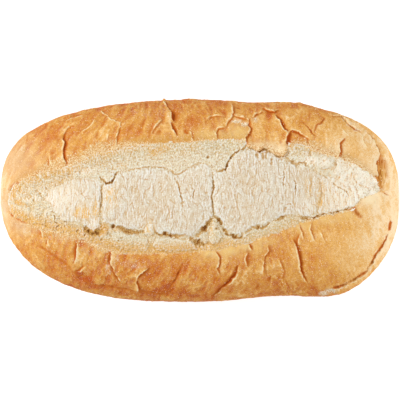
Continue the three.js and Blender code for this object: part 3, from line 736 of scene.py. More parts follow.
# textures of the crust: size in millimetres, detail and roughness
crustTextures = {
    "blotch": ((12, 12, 12), 3.0),
    "mottle": ((2.0, 3.0, 2.6), 3.0, 0.6),
    "grain": ((0.7, 0.7, 0.7), 2.0, 0.6),
    "flecks": ((0.62, 0.62, 0.62), 1.0),
    "strands": ((0.8, 4.0, 4.0), 2.0),   # crumb seen in the gaps
}

# where each colour starts and is full, or for a shift, the texture's range and how far it shifts
crustMix = {
    "blotchShift": (0.25, 0.75, 0.07), "mottleShift": (0.25, 0.75, 0.08), "grainShift": (0.3, 0.7, 0.13),
    "flourFlecks": (0.0, 1.0, 0.0, 0.1), "flecks": (0.63, 0.69, 0.0, 0.65),
    "pits": (0.42, 0.34), "dust": (0.45, 0.65, 0.0, 0.62),
    "tornShift": (0.3, 0.7, 0.3), "tornGrain": (0.36, 0.56), "torn": (0.4, 0.6),
    "fringeShift": (0.3, 0.7, 0.5), "fringeGrain": (0.4, 0.6), "fringe": (0.42, 0.58),
    "highlightShift": (0.3, 0.7, 0.2), "pale": (0.25, 0.85, 0.0, 0.9),
    "strands": (0.44, 0.56), "crackSide": (0.04, 0.5), "crackDeep": (0.4, 0.9),
    "grainBump": (0.2, 1.0), "mottleBump": (0.14, 0.8),
}


def crustFinish():
    look, mix = crustLook, crustMix
    finish = Finish("baked crust", look["shader"])
    texture = {name: finish.noise(*lumps) for name, lumps in crustTextures.items()}
    flecks, grain, mottle = texture["flecks"], texture["grain"], texture["mottle"]
    bake = finish.attribute("bake")
    for name in ("blotch", "mottle", "grain"):
        bake = finish.uneven(bake, texture[name], *mix[name + "Shift"])
    colour = finish.ramp(bake, [(stop, look[name]) for stop, name in look["bakeStops"]])
    for name in ("amber", "rosy", "sunny", "creamy"):
        colour = finish.mix(finish.attribute(name), colour, look[name])

    # flecks and dust of flour, and pits whose darkness is painted shade
    floured = finish.attribute("flour")
    flecked = finish.math("ADD", flecks, finish.between(floured, *mix["flourFlecks"]))
    colour = finish.mix(finish.between(flecked, *mix["flecks"]), colour, look["fleck"])
    # painted shade of tiny pits, in the colour of the crack shade
    pits = finish.math("MULTIPLY", finish.attribute("amber"), finish.between(flecks, *mix["pits"]))
    colour = finish.mix(pits, colour, look["crackSide"])
    dust = finish.math("MULTIPLY", floured, finish.between(mottle, *mix["dust"]))
    colour = finish.mix(dust, colour, look["flour"])

    # crumb that shows where the crust is torn and along its border
    for name, light in (("torn", "tornCrumb"), ("fringe", "crumb")):
        amount = finish.uneven(finish.attribute(name), flecks, *mix[name + "Shift"])
        crumb = finish.mix(finish.between(grain, *mix[name + "Grain"]), look["toastedCrumbAndHollowShade"], look[light])
        colour = finish.mix(finish.between(amount, *mix[name]), colour, crumb)

    # painted highlight on the curled edges of the cracks, and painted shade in their gaps and on their low
    # sides, paler and golden where crumb strands show
    pale = finish.uneven(finish.attribute("crackPale"), grain, *mix["highlightShift"])
    colour = finish.mix(finish.between(pale, *mix["pale"]), colour, look["edge"])
    dark, inGap = finish.attribute("crackDark"), finish.attribute("paleGap")
    strands = finish.between(texture["strands"], *mix["strands"])
    for name, low, high in (("crackSide", "gapGold", "gapPale"), ("crackDeep", "gapBrown", "gapGold")):
        depths = finish.mix(inGap, look[name], finish.mix(strands, look[low], look[high]))
        colour = finish.mix(finish.between(dark, *mix[name]), colour, depths)
    finish.colour(finish.mix(finish.attribute("cutEdge"), colour, look["toastedCrumbAndHollowShade"]))
    finish.bump(grain, *mix["grainBump"])
    finish.bump(mottle, *mix["mottleBump"])
    return finish.material


crustShape = {
    "stations": 740,
    "tipGather": 0.35,   # how much the stations crowd at the tips
    "baseSteps": 4,
    "underSteps": 10,
    "underCurve": 1.6,   # how the rows under the tips crowd at the base
    "crustSteps": 106,
    "floorSteps": 4,
    "wall": [(0.12, 0.5), (0.25, 1.6), (0.4, 4.0)],   # inward and downward steps of the crust's torn edge
    "wallRoom": 0.1,     # most of the split's width that they may take
    "lipRise": 0.5,
    "lipReach": 6.0,
}


def crustRings():
    # smooth loaf with the trough of the split, as rings of points along the loaf
    shape = crustShape
    u = np.linspace(-1, 1, shape["stations"] + 2)[1:-1]
    gather = shape["tipGather"]
    x = halfLength * ((1 - gather) * u + gather * np.sin(math.pi / 2 * u))
    back, front, _, _ = sectionAt(x)
    backBorder, frontBorder = splitBorders(x, True)
    width = backBorder - frontBorder
    opening = splitOpening(x)
    columns, kinds = [], []

    def addColumn(y, z, kind):
        columns.append(np.column_stack([x, y, z]))
        kinds.append(kind)

    def underside(side, sign):
        # from the middle of the base out to just below the waist
        share = np.abs(x) / halfLength
        base = loafForm["baseShare"]
        onBase = share < base
        flatSteps = shape["baseSteps"]
        count = flatSteps + shape["underSteps"]
        firstTurn = np.arcsin(np.clip((share - base) / (1 - base), 0, 1))
        made = []
        for step in range(count):
            raised = max(0, step - flatSteps) / shape["underSteps"]
            turn = firstTurn + (math.pi / 2 - firstTurn) * np.where(
                onBase, raised, (step / count) ** shape["underCurve"])
            scale = base + (1 - base) * np.sin(turn)
            y = scale * sideReach(side, x / scale)
            y = np.where(onBase & (step < flatSteps), y * step / flatSteps, y)
            made.append((sign * y, loafForm["waistHeight"] * (1 - np.cos(turn))))
        return made

    def addCrust(border, edge, steps):
        for step in steps:
            y = border + (edge - border) * np.sin(math.pi / 2 * (1 - step / shape["crustSteps"]))
            addColumn(y, topHeight(x, y), "crust")

    def addWall(border, sign, steps):
        for inward, down in steps:
            y = border + sign * np.minimum(inward, shape["wallRoom"] * width)
            addColumn(y, topHeight(x, y) - down * opening, "wall")

    for y, z in underside(loafForm["back"], 1):
        addColumn(y, z, "under")
    addCrust(backBorder, back, range(shape["crustSteps"] + 1))
    addWall(backBorder, -1, shape["wall"])
    for step in range(1, shape["floorSteps"]):
        y = backBorder + (frontBorder - backBorder) * step / shape["floorSteps"]
        addColumn(y, topHeight(x, y) - split["troughDepth"] * opening, "floor")
    addWall(frontBorder, 1, reversed(shape["wall"]))
    addCrust(frontBorder, front, range(shape["crustSteps"], -1, -1))
    for y, z in reversed(underside(loafForm["front"], -1)):
        addColumn(y, z, "under")
    return np.stack(columns, axis=1), np.array(kinds), backBorder, frontBorder


# places on the crust: photo point, spread along and across in pixels, and how strong
crustPatches = {
    "torn": [(236, 120.5, 6, 2.4, 0.95), (244, 123.5, 5, 2.6, 0.95), (255, 119, 5, 5, 0.55),
        (370, 268.5, 2.2, 3.6, 0.75), (331, 290.5, 6.5, 3, 1.0), (323, 293, 5, 3.2, 0.95),
        (341, 287, 2.4, 1.6, 0.7), (351, 281, 3, 1.4, 0.65), (362, 275, 3, 1.2, 0.6),
        (343.5, 118.6, 2.4, 2.8, 0.95), (348.5, 124.5, 3.0, 2.2, 0.95), (356, 129.4, 4, 1.4, 0.85)],
    "flour": [(108, 267, 4, 7, 1.0), (114, 258, 5, 7, 1.0), (136, 264, 12, 4, 0.9),
        (100, 250, 26, 14, 0.35), (150, 112, 40, 10, 0.25), (75, 165, 20, 7, 0.6), (100, 153, 16, 5, 0.5),
        (200, 265, 30, 9, 0.2), (45, 178, 20, 5, 0.5), (52, 258, 14, 8, 0.3), (60, 238, 30, 6, 0.5)],
    # places baked darker; the small ones in the dents and beside the cracks are painted shade
    "dark": [(100, 276, 26, 9, 0.12), (128, 281, 24, 8, 0.1), (152, 264, 26, 9, 0.2),
        (185, 270, 26, 9, 0.12), (92, 246, 14, 8, 0.1), (193, 122, 9, 6, 0.22), (79, 273, 6, 3.6, 0.4),
        (86, 280, 7, 4, 0.45), (100, 286, 12, 3, 0.25), (146, 276, 12, 7, 0.2), (165, 286.5, 4, 3.4, 0.45),
        (184, 292, 5, 2, 0.35), (193, 295, 7, 2, 0.3), (196, 276, 2.6, 3, 0.3), (192, 279, 2, 3, 0.25),
        (140, 270, 4, 3, 0.2), (60, 279, 26, 8, 0.03), (100, 262, 12, 6, 0.12), (75, 130, 8, 6, 0.1),
        (154, 125, 3, 4, 0.2), (212, 129, 5, 5, 0.2), (222, 131, 4, 4, 0.2), (30, 240, 26, 16, 0.06),
        (44, 134, 18, 14, 0.14), (360, 152, 18, 14, 0.1), (167, 134, 4, 3, 0.15), (140, 132, 3, 5, 0.15),
        (165, 291, 34, 5, 0.22), (220, 285, 12, 6, 0.12), (298, 140, 7, 6, 0.33), (267, 136, 16, 5, 0.12),
        (250, 255, 16, 6, 0.1), (120, 282, 16, 4, 0.15)],
    # places baked paler, with a small painted highlight beside the middle gash
    "bright": [(330, 138, 34, 20, 0.23), (340, 250, 40, 25, 0.07), (300, 115, 40, 14, 0.1),
        (168, 117, 4, 6, 0.14), (270, 122, 30, 12, 0.12), (316, 130, 15, 10, 0.26), (245, 294, 30, 6, 0.1)],
    "dent": [(329, 253.5, 2.2, 2.6, 0.7), (339, 242.6, 4, 4, 0.6), (84, 277, 7, 4, 1.2),
        (298, 139, 8, 7, 1.2), (236, 120.5, 6, 2.4, 0.8), (244, 123.5, 5, 2.6, 0.8),
        (330, 291, 6, 2.6, 0.9)],
    "flake": [(163.4, 99.8, 1.6, 2.6, 1.3), (188, 98.6, 7, 2, 0.7), (300, 102, 3, 2, 0.7),
        (171, 297, 4, 2, 0.6), (289, 293, 1.6, 3, 0.8), (66, 116, 8, 3, 0.6), (10, 214, 3, 5, 0.6),
        (267, 148, 18, 5, 0.5)],
    "smooth": [(338, 250, 42, 32, 0.9), (352, 150, 36, 30, 0.85), (20, 165, 24, 24, 0.25),
        (388, 200, 16, 50, 0.4), (30, 230, 20, 14, 0.2)],
    "creamy": [(258, 147.5, 11, 5, 0.9), (279, 151, 10, 7, 1.0), (268, 147, 10, 5, 0.85),
        (368, 198, 14, 8, 1.0), (350, 204, 8, 4, 0.4), (330, 151, 16, 6, 0.5), (358, 164, 18, 7, 0.4),
        (368, 170, 9, 6, 0.7), (3, 201, 7, 20, 0.5)],
    "sunny": [(213, 252, 13, 6, 0.8), (228, 250, 14, 7, 0.8), (244, 245, 14, 7, 0.75),
        (262, 241, 14, 6, 0.45), (252, 250, 14, 5, 0.35), (300, 225, 12, 8, 0.65), (326, 219, 22, 6, 0.5),
        (346, 214, 12, 5, 0.5), (182, 137, 16, 6, 0.1), (212, 134, 20, 6, 0.55), (236, 132, 12, 8, 0.65),
        (268, 135, 16, 5, 0.1)],
    "rosy": [(12, 160, 30, 24, 0.5), (6, 205, 16, 22, 0.5), (20, 224, 18, 11, 0.5)],
    "paleGap": [(381, 175, 8, 18, 1.0), (374, 145, 16, 16, 0.8), (345, 120, 20, 9, 0.8),
        (358, 212, 10, 10, 0.5), (370, 266, 7, 9, 0.8), (352, 280, 16, 8, 0.8)],
}

# how wide the crust's border frays into crumb, by photo column
borderFray = {
    "columns": [0, 30, 45, 60, 100, 130, 160, 245, 249, 285, 289, 305, 330, 360, 400],
    "back": [1.5, 2.5, 8.0, 12.0, 10.0, 4.0, 0.6, 0.6, 3.0, 3.0, 4.0, 8.0, 8.0, 4.0, 2.0],
    "front": [1.5, 2.0, 4.0, 6.0, 4.5, 1.0, 0.6, 0.8, 0.8, 0.8, 1.2, 1.1, 1.0, 2.2, 1.5],
}

# how the folds lean, by photo column: along the loaf for each step towards the back
foldLean = {
    "columns": [0, 60, 140, 190, 230, 270, 400],
    "back": [0.5, 0.8, 0.6, -0.3, -0.3, 0.0, 0.3],
    "front": [0.15, 0.2, 0.4, 0.5, 0.5, -0.3, -0.35],
    "pivot": 45.0,           # from the loaf's middle, millimetres
}

# relief of the crust: heights in millimetres, and lumps with a size and a seed
crustFolds = {
    "flute": 0.42, "fluteLumps": ((4.6, 18.0, 15.0), 1),   # long folds down the sides
    "fold": 0.22, "foldLumps": ((3.0, 9.0, 9.0), 2),       # finer folds with sharp tops
    "foldTop": 0.5, "foldSteep": 2,
    "ridge": 0.4, "ridgeLumps": ((4.4, 10.0, 10.0), 4),    # thin raised lines
    "jog": 0.35, "jogLumps": ((2.5, 2.5, 2.5), 7),
    "ridgeThin": 2.2, "ridgePower": 3,
    "ridgeField": ((14, 14, 14), 9), "ridgeFrom": (-0.1, 0.35),
    "crumple": 0.16, "crumpleLumps": ((1.7, 2.1, 2.1), 5), "fineLumps": ((0.95, 1.1, 1.1), 6),
    "coarseShare": 0.6,
    "lowShare": 0.5, "lowHeights": (20, 45),               # folds fade down the sides
    "baseFade": 6,                                         # and at the base
}


def crustRelief(spot):
    # folds lean as the crust was pulled, and fade where it stayed smooth
    form, points = crustFolds, spot.points
    lean = bySide(spot.x, foldLean, spot.atBack)
    slant = lean * (np.abs(points[:, 1]) - foldLean["pivot"]) * np.sign(points[:, 1])
    leaned = points - asLine(slant)
    flute = noiseAt(leaned, *form["fluteLumps"])
    fold = form["foldTop"] - form["foldSteep"] * np.abs(noiseAt(leaned, *form["foldLumps"]))
    lines = noiseAt(leaned, *form["ridgeLumps"]) + form["jog"] * noiseAt(points, *form["jogLumps"])
    ridge = (1 - np.clip(np.abs(lines) * form["ridgeThin"], 0, 1)) ** form["ridgePower"]
    ridge *= ease(noiseAt(points, *form["ridgeField"]), *form["ridgeFrom"])
    coarse, fine = noiseAt(points, *form["crumpleLumps"]), noiseAt(points, *form["fineLumps"])
    crumple = coarse * form["coarseShare"] + fine * (1 - form["coarseShare"])
    strength = 1 - patchField(points, crustPatches["smooth"])
    strength *= form["lowShare"] + (1 - form["lowShare"]) * ease(points[:, 2], *form["lowHeights"])
    groove, lift, dark, pale = crackFields(points, crustCracks, crustCrackWay)
    return SimpleNamespace(flute=flute, fold=fold, ridge=ridge, crumple=crumple, strength=strength,
                           groove=groove, lift=lift, dark=dark, pale=pale)


def crustBulge(spot, relief):
    # how far the crust stands out of the smooth loaf
    form, shape = crustFolds, crustShape
    baseFade = np.clip(spot.points[:, 2] / form["baseFade"], 0, 1)
    skin = np.where(spot.kind == "under", baseFade, np.where(spot.onTop, 1, 1 - spot.opening))
    folds = form["flute"] * relief.flute + form["fold"] * relief.fold + form["ridge"] * relief.ridge
    lip = shape["lipRise"] * bell(spot.outside / shape["lipReach"]) * spot.opening
    bulge = skin * (relief.strength * folds + form["crumple"] * relief.crumple)
    dents = patchField(spot.points, crustPatches["dent"])
    bulge += np.where(spot.onTop, lip + relief.lift - relief.groove - dents, 0)
    bulge += patchField(spot.points, crustPatches["flake"])
    return bulge + np.where(spot.kind == "wall", shape["lipRise"] * spot.opening, 0)


# how brown the crust is, with painted shade in the hollows of its folds and painted highlight on their tops
# and on curled crack edges
crustBake = {
    "back": (0.51, 0.18),     # on top, and how much more at the rim
    "front": (0.55, 0.17),
    "rimPower": 5,
    # paler ends: partly the crust's own paler bake, partly painted light from the sides
    "paleAndLitEnds": [(-1, 0.18, (0.66, 1.0)), (-1, 0.14, (0.94, 1.0)), (1, 0.4, (0.55, 0.98))],
    # painted shade in fold valleys, painted highlight on fold tops and on lifted crack edges
    "flute": 0.2, "fold": 0.18, "ridge": 0.3, "lift": 0.28, "base": 0.15,
    "crumple": 0.16, "smoothCrumple": 0.15,
    "amber": 0.85, "amberReach": 8,
    "crumblyFray": (1.2, 4.0),
    "flour": 0.18, "flourFall": 0.14, "flourPower": 4, "sideFlour": 0.08,
    "cutEdge": (0.1, 0.6),
}


def crustTones(spot, relief):
    # attributes of the crust's colours: paler at the ends (partly painted light), browner towards the sides,
    # painted shade and highlight on the folds
    tone, points, onTop, opening = crustBake, spot.points, spot.onTop, spot.opening

    def patch(name):
        return patchField(points, crustPatches[name])

    _, _, middle, half = sectionAt(spot.x)
    across = (points[:, 1] - middle) / half
    level, rim = (np.where(spot.atBack, *both) for both in zip(tone["back"], tone["front"]))
    bake = level + rim * np.abs(across) ** tone["rimPower"]
    # paler ends, partly painted light
    for end, amount, limits in tone["paleAndLitEnds"]:
        bake -= amount * ease(end * spot.x / halfLength, *limits)
    # darker and paler places, some of them painted shade and highlight at dents and cracks
    bake += patch("dark") - patch("bright")
    folds = tone["flute"] * relief.flute + tone["fold"] * relief.fold + tone["ridge"] * relief.ridge
    rough = tone["smoothCrumple"] + (1 - tone["smoothCrumple"]) * relief.strength
    crumples = tone["crumple"] * relief.crumple * rough
    # painted shade in the fold valleys and painted highlight on fold tops and lifted crack edges
    bake -= relief.strength * folds + crumples + tone["lift"] * relief.lift
    low = 1 - points[:, 2] / loafForm["waistHeight"]
    bake += np.where(spot.kind == "under", tone["base"] * low, 0)
    fray = bySide(spot.x, borderFray, spot.atBack)
    fringe = (1 - spot.outside / fray) * ease(spot.x, *split["leftFringe"])
    fringe *= 1 - ease(spot.x, *split["rightEnd"])
    amber = tone["amber"] * (1 - ease(spot.outside, 0, tone["amberReach"])) * opening
    flour = np.maximum(patch("flour"), tone["flour"] - tone["flourFall"] * across ** tone["flourPower"])
    return {
        "bake": bake,
        "amber": np.where(onTop & spot.atBack, amber, 0),
        "rosy": patch("rosy"),
        "creamy": np.where(onTop, patch("creamy"), 0),
        "sunny": np.where(onTop, patch("sunny"), 0),
        "fringe": np.where(onTop, fringe, np.where(spot.inTrough, opening, 0)),
        "crumbly": np.where(onTop, np.clip(fringe, 0, 1) * ease(fray, *tone["crumblyFray"]), 0),
        # painted shade of the cracks and painted highlight of their curled edges
        "crackDark": np.where(onTop, relief.dark, 0),
        "paleGap": patch("paleGap"),
        "crackPale": np.where(onTop, relief.pale, 0),
        "flour": np.where(onTop, flour, tone["sideFlour"]),
        "torn": np.where(onTop, patch("torn"), 0),
        "cutEdge": np.where(spot.inTrough, ease(opening, *tone["cutEdge"]), 0),
    }


def makeCrust(material):
    rings, kinds, backBorder, frontBorder = crustRings()
    stations, around = rings.shape[:2]
    points = rings.reshape(-1, 3)
    kind = np.tile(kinds, stations)
    backOut = points[:, 1] - np.repeat(backBorder, around)
    frontOut = np.repeat(frontBorder, around) - points[:, 1]
    spot = SimpleNamespace(
        points=points, x=points[:, 0], kind=kind, onTop=kind == "crust",
        inTrough=(kind == "wall") | (kind == "floor"),
        atBack=backOut > frontOut, outside=np.maximum(backOut, frontOut),
        opening=np.repeat(splitOpening(rings[:, 0, 0]), around))
    relief = crustRelief(spot)
    bulge = crustBulge(spot, relief)
    attributes = crustTones(spot, relief)
    placed = points - gridNormals(rings).reshape(-1, 3) * bulge[:, None]   # these normals point inwards
    placed[:, 2] = np.maximum(placed[:, 2], 0)

    # the crust is one piece behind the split and one before it, each shut by a wall inside the loaf
    placed = placed.reshape(rings.shape)
    normals = -gridNormals(placed)
    seam = int(np.flatnonzero(kinds == "floor")[crustShape["floorSteps"] // 2 - 1])
    tips = np.array([[end * halfLength, 0, loafForm["waistHeight"]] for end in (-1, 1)])
    pieces = []
    for name, chosen in (("crust_back", range(seam + 1)), ("crust_front", range(seam, around))):
        chosen = np.array(chosen)
        wide = len(chosen)
        grid = np.arange(stations * wide).reshape(stations, wide)
        following = np.roll(grid, -1, axis=1)
        quads = np.stack([grid[:-1], following[:-1], following[1:], grid[1:]], axis=-1).reshape(-1, 4)
        first, last = stations * wide, stations * wide + 1
        leftFan = np.column_stack([np.full(wide, first), following[0], grid[0]])
        rightFan = np.column_stack([np.full(wide, last), grid[-1], following[-1]])
        kept = {}
        for key, values in attributes.items():
            part = values.reshape(stations, around)[:, chosen].ravel()
            kept[key] = np.concatenate([part, part[[0, -1]]])
        pieces.append(newPiece(
            name, np.vstack([placed[:, chosen].reshape(-1, 3), tips]),
            np.vstack([normals[:, chosen].reshape(-1, 3), [[-1, 0, 0], [1, 0, 0]]]),
            quads, np.vstack([leftFan, rightFan]), kept, material))
    return pieces


crumbLook = {
    "ivory": tint(220, 208, 186),
    "rose": tint(219, 202, 174),
    "straw": tint(213, 198, 162),
    "cream": tint(251, 243, 225),
    # toasted crumb, also the painted shade of the hollow under the left plate
    "toast": tint(226, 176, 92),
    "gold": tint(236, 190, 110),
    # painted shade in the hollows and painted highlight on the bumps of the crumb
    "hollowShade": tint(198, 144, 68),
    "peakHighlight": tint(244, 244, 238),
    # painted shade in the crumb's grooves, pits and holes
    "groove": tint(195, 152, 82),
    "deep": tint(133, 78, 27),
    "dot": tint(178, 116, 50),
    "shader": {"Roughness": 0.8, "Specular IOR Level": 0.2, "Subsurface Weight": 0.1,
               "Subsurface Radius": (1.0, 0.7, 0.4), "Subsurface Scale": 1.0 * mm},
    "cloud": ((11, 14, 12), 2.0),   # textures: size in millimetres, detail and roughness
    "grit": ((0.6, 0.7, 0.6), 2.0, 0.6),
    "fibre": ((0.7, 4.5, 3.0), 2.0, 0.5),
    "gritBump": 0.25,
}

# where each colour starts and is full, and how far the grit shifts it
crumbMix = {
    "rose": (0.38, 0.62),
    "gold": (0.36, 0.66, 0.0, 0.8),
    "gritShift": (0.25, 0.75, 0.4),
    "toast": (0.3, 0.9),
    "dots": (0.4, 0.3, 0.0, 0.8),
    # painted shade in hollows and painted highlight on peaks
    "hollowShade": (-0.1, -1.2, 0.0, 0.58),
    "peakHighlight": (0.1, 1.2, 0.0, 0.7),
    "groove": (0.12, 0.7),
    "deep": (0.55, 1.05),
}


def crumbFinish():
    look, mix = crumbLook, crumbMix
    finish = Finish("torn crumb", look["shader"])
    cloud, grit, fibre = (finish.noise(*look[name]) for name in ("cloud", "grit", "fibre"))
    colour = finish.mix(finish.between(cloud, *mix["rose"]), look["ivory"], look["rose"])
    colour = finish.mix(finish.attribute("ledge"), colour, look["straw"])
    colour = finish.mix(finish.attribute("cream"), colour, look["cream"])
    gold = finish.math("MULTIPLY", finish.attribute("golden"), finish.between(fibre, *mix["gold"]))
    colour = finish.mix(gold, colour, look["gold"])
    toasted = finish.attribute("toast")
    toast = finish.uneven(toasted, grit, *mix["gritShift"])
    colour = finish.mix(finish.between(toast, *mix["toast"]), colour, look["toast"])
    dots = finish.math("MULTIPLY", toasted, finish.between(grit, *mix["dots"]))
    colour = finish.mix(dots, colour, look["dot"])
    # painted shade in hollows, painted highlight on peaks, painted shade in cracks, pits and holes
    for name, tones in (("cavity", ("hollowShade", "peakHighlight")), ("crackDark", ("groove", "deep"))):
        amount = finish.uneven(finish.attribute(name), grit, *mix["gritShift"])
        for tone in tones:
            colour = finish.mix(finish.between(amount, *mix[tone]), colour, look[tone])
    finish.colour(colour)
    finish.bump(grit, look["gritBump"])
    return finish.material


crumbShape = {
    "stations": 1100,
    "across": 164,
    "ends": (-127.0, 118.5),
    "tipRound": 4.0, "tipLumps": ((3, 3, 3), 24),
    "tipDrop": 2.5, "tipReach": 3.5,
    "overlap": 3.0,           # how far the crumb runs under the crust
    "underSlope": 2.0, "underStart": 1.4,
    "edgeDrop": 0.12,
    "ledgeDrop": 1.4, "ledgeReach": 13.0,
    "lipReach": 4,
    "flapRoom": 1.4, "flapReach": 0.8,
    "plateRound": 1.8, "flakeRound": 0.8,
    "plateRagged": 0.7, "plateLumps": ((1.6, 1.6, 1), 21),
    "plateEdge": (-0.6, 1.4),
    "pillow": 0.8, "pillowReach": 9,
    "pitDepth": 1.5, "pitShade": 0.8,
    "slab": 7.0,
}

# fine relief of the crumb: heights in millimetres, and lumps or cells with a size and a seed
crumbRough = {
    "sway": (1.6, 0.8), "swayLumps": [((5, 7, 1), 10), ((4, 4, 1), 13)],   # along and across
    "cell": 0.3, "cellTop": 0.55, "cells": ((0.85, 2.2), 1),       # the worm-like bumps of the plates
    "fibre": 0.33, "fibreLumps": ((0.62, 2.4, 1), 11),
    "swell": 0.9, "swellLumps": ((2.8, 4.6, 1), 19),
    "slit": 0.75, "slitLumps": ((2.1, 8.0, 1), 12), "slitThin": 4.6,
    "slitField": ((3.5, 5, 1), 14), "slitFrom": (-0.3, 0.3),
    "crackle": 0.42, "crackleCells": ((2.7, 4.2), 5),              # the fine cracks of the plates
    "crackleSway": 1.6, "crackleWidth": (0.02, 0.16),
    "crackleField": ((4.0, 4.0, 1), 23), "crackleFrom": (-0.1, 0.35),
    "bumpRise": 0.38,
    "gritRise": 0.42, "gritCells": ((1.15, 1.15), 2), "gritSway": 0.6,   # the grains of the ledges
    "gritTop": 0.5,
    "fineGritRise": 0.26, "fineGritCells": ((0.72, 0.72), 3),
    "plateGrit": 0.8, "ledgeGrit": 0.2,
    "lumpLumps": ((3.8, 3.2, 1), 16), "smallLump": 0.5, "smallLumps": ((1.9, 1.9, 1), 17),
    "inside": (-1.5, 0.6),
}

# height of the fluffy lumps of the ledges, by photo column
ledgeLumps = {
    "columns": [0, 60, 110, 240, 290, 330, 400],
    "back": [0.65, 0.65, 0.35, 0.35, 0.8, 1.0, 0.9],
    "front": [0.5, 0.8, 0.28, 0.28, 0.4, 0.3, 0.3],
}

# how many small holes the ledges show, by photo column
ledgeHoles = {
    "lumps": ((1.5, 1.3, 1), 27),
    "edge": (0.3, 0.5),
    "depth": 0.7,
    # painted shade in the holes
    "dark": 0.45,
    "columns": [0, 48, 60, 86, 110, 150, 240, 300, 400],
    "back": [0.35, 0.4, 0.4, 0.35, 0.3, 0.15, 0.2, 0.3, 0.3],
    "front": [0.4, 0.45, 1.3, 1.3, 0.7, 0.2, 0.2, 0.2, 0.2],
}

# how toasted the ledges are at the crust, by photo column
ledgeToast = {
    "columns": [0, 180, 225, 245, 250, 284, 290, 340, 400],
    "front": [1.2, 1.15, 1.0, 0.7, 0.65, 0.65, 0.65, 0.4, 0.0],
    "back": [0.75, 0.66, 0.52, 0.5, 0.72, 0.72, 0.62, 0.4, 0.1],
}

# cream and golden places on the crumb, and toasted brown ones that paint the shade of the hollow and groove
# under the left plate: photo point, spread along and across in pixels, and strength
creamCrumb = [(62, 196, 22, 13, 0.6), (94, 222, 5, 4, 0.6), (86, 171, 18, 6, 0.75), (162, 240, 24, 4, 0.3),
    (200, 240, 14, 5, 0.4), (309, 160, 12, 6, 0.9), (324, 161, 13, 8, 0.9), (309, 204, 9, 8, 0.45)]
goldenCrumb = [(110, 196, 8, 12, 1.3), (84, 213, 12, 7, 2.2), (95, 209, 5, 10, 1.9), (149, 229, 6, 7, 1.6),
    (212, 229, 4, 8, 1.4), (30, 188, 14, 8, 0.7), (347, 193, 5, 6, 1.1), (352, 176, 6, 6, 0.7),
    (320, 198, 4, 14, 1.6), (309, 187, 6, 12, 1.0), (369, 182, 8, 6, 0.35)]
toastedCrumbAndHollowShade = [(92, 232, 14, 6, 1.3), (103, 229, 6, 7, 1.3), (118, 228, 14, 4, 0.75), (82, 216, 7, 4, 0.6)]

# small holes in the crumb, each with painted shade: photo point and radius in millimetres
crumbPits = [(207.4, 156.7, 0.9), (216, 228, 0.8), (142, 146, 0.45), (199, 246, 0.5), (118, 240, 0.5),
    (101, 239, 0.7), (40, 193, 0.6), (33, 200, 0.5)]


def crumbGround():
    # a grid over the split that runs a little under the crust, and how far in from the borders it lies
    shape = crumbShape
    start, end = shape["ends"]
    x = np.linspace(start, end, shape["stations"])
    backBorder, frontBorder = splitBorders(x, False)
    wide = shape["across"]
    spread = np.linspace(0, 1, wide)
    low, high = frontBorder - shape["overlap"], backBorder + shape["overlap"]
    y = low[:, None] + (high - low)[:, None] * spread
    plan = np.column_stack([np.repeat(x, wide), y.ravel()])
    points = np.column_stack([plan, topHeight(*plan.T)])
    backIn = np.repeat(backBorder, wide) - plan[:, 1]
    frontIn = plan[:, 1] - np.repeat(frontBorder, wide)
    rounding = shape["tipRound"] * np.tile(np.square(2 * spread - 1), len(x))
    rounding -= noiseAt(points, *shape["tipLumps"])
    return SimpleNamespace(
        points=points, plan=plan, x=plan[:, 0], flat=points * [1, 1, 0], backIn=backIn, frontIn=frontIn,
        inward=np.minimum(backIn, frontIn), atBack=frontIn >= backIn,
        endIn=np.minimum(plan[:, 0] - start, end - plan[:, 0]) - rounding)


def crumbDrop(ground):
    # how far the crumb lies under the plain loaf
    shape, inward = crumbShape, ground.inward
    drop = shape["edgeDrop"] + shape["ledgeDrop"] * ease(inward, 0, shape["ledgeReach"])
    under = shape["underSlope"] * np.clip(-inward - shape["underStart"], 0, None)
    drop += under + shape["tipDrop"] * (1 - ease(ground.endIn, 0.0, shape["tipReach"]))
    drop -= crustShape["lipRise"] * bell(inward / shape["lipReach"])
    belowFlap = ease(ground.plan[:, 1] - flapBorder(ground.x), 0.0, shape["flapReach"])
    return drop + shape["flapRoom"] * belowFlap


def platesAt(ground):
    # how high the plates and flakes stand, and where the plates are
    shape = crumbShape
    onPlate = np.zeros(len(ground.plan))
    rise = np.zeros(len(ground.plan))
    ragged = shape["plateRagged"] * noiseAt(ground.flat, *shape["plateLumps"])
    for pieces, rounding in ((crumbPlates, shape["plateRound"]), (crumbFlakes, shape["flakeRound"])):
        for each in pieces.values():
            depth = insidePlate(ground.plan, each["pixels"]) + ragged
            inside = np.clip(depth, 0, None)
            level = each["rise"] * (1 - np.exp(-inside / rounding))
            rise = np.maximum(rise, level + shape["pillow"] * (1 - np.exp(-inside / shape["pillowReach"])))
            if pieces is crumbPlates:
                onPlate = np.maximum(onPlate, ease(depth, *shape["plateEdge"]))
    return rise, onPlate


def crumbGaps(ground, onPlate):
    # depth and painted shade of the cracks, the pits and the small holes of the ledges
    shape = crumbShape
    groove, _, dark, _ = crackFields(ground.points, crumbCracks, crumbCrackWay)
    for *centre, radius in crumbPits:
        hole = bell(np.linalg.norm(ground.plan - fromPhoto([centre]), axis=1) / radius)
        groove = np.maximum(groove, shape["pitDepth"] * radius * hole)
        # painted shade in the pit
        dark = np.maximum(dark, shape["pitShade"] * hole)
    holes = bySide(ground.x, ledgeHoles, ground.atBack)
    holes *= (1 - onPlate) * ease(noiseAt(ground.flat, *ledgeHoles["lumps"]), *ledgeHoles["edge"])
    groove = np.maximum(groove, ledgeHoles["depth"] * holes)
    dark = np.maximum(dark, ledgeHoles["dark"] * holes)
    return groove, dark


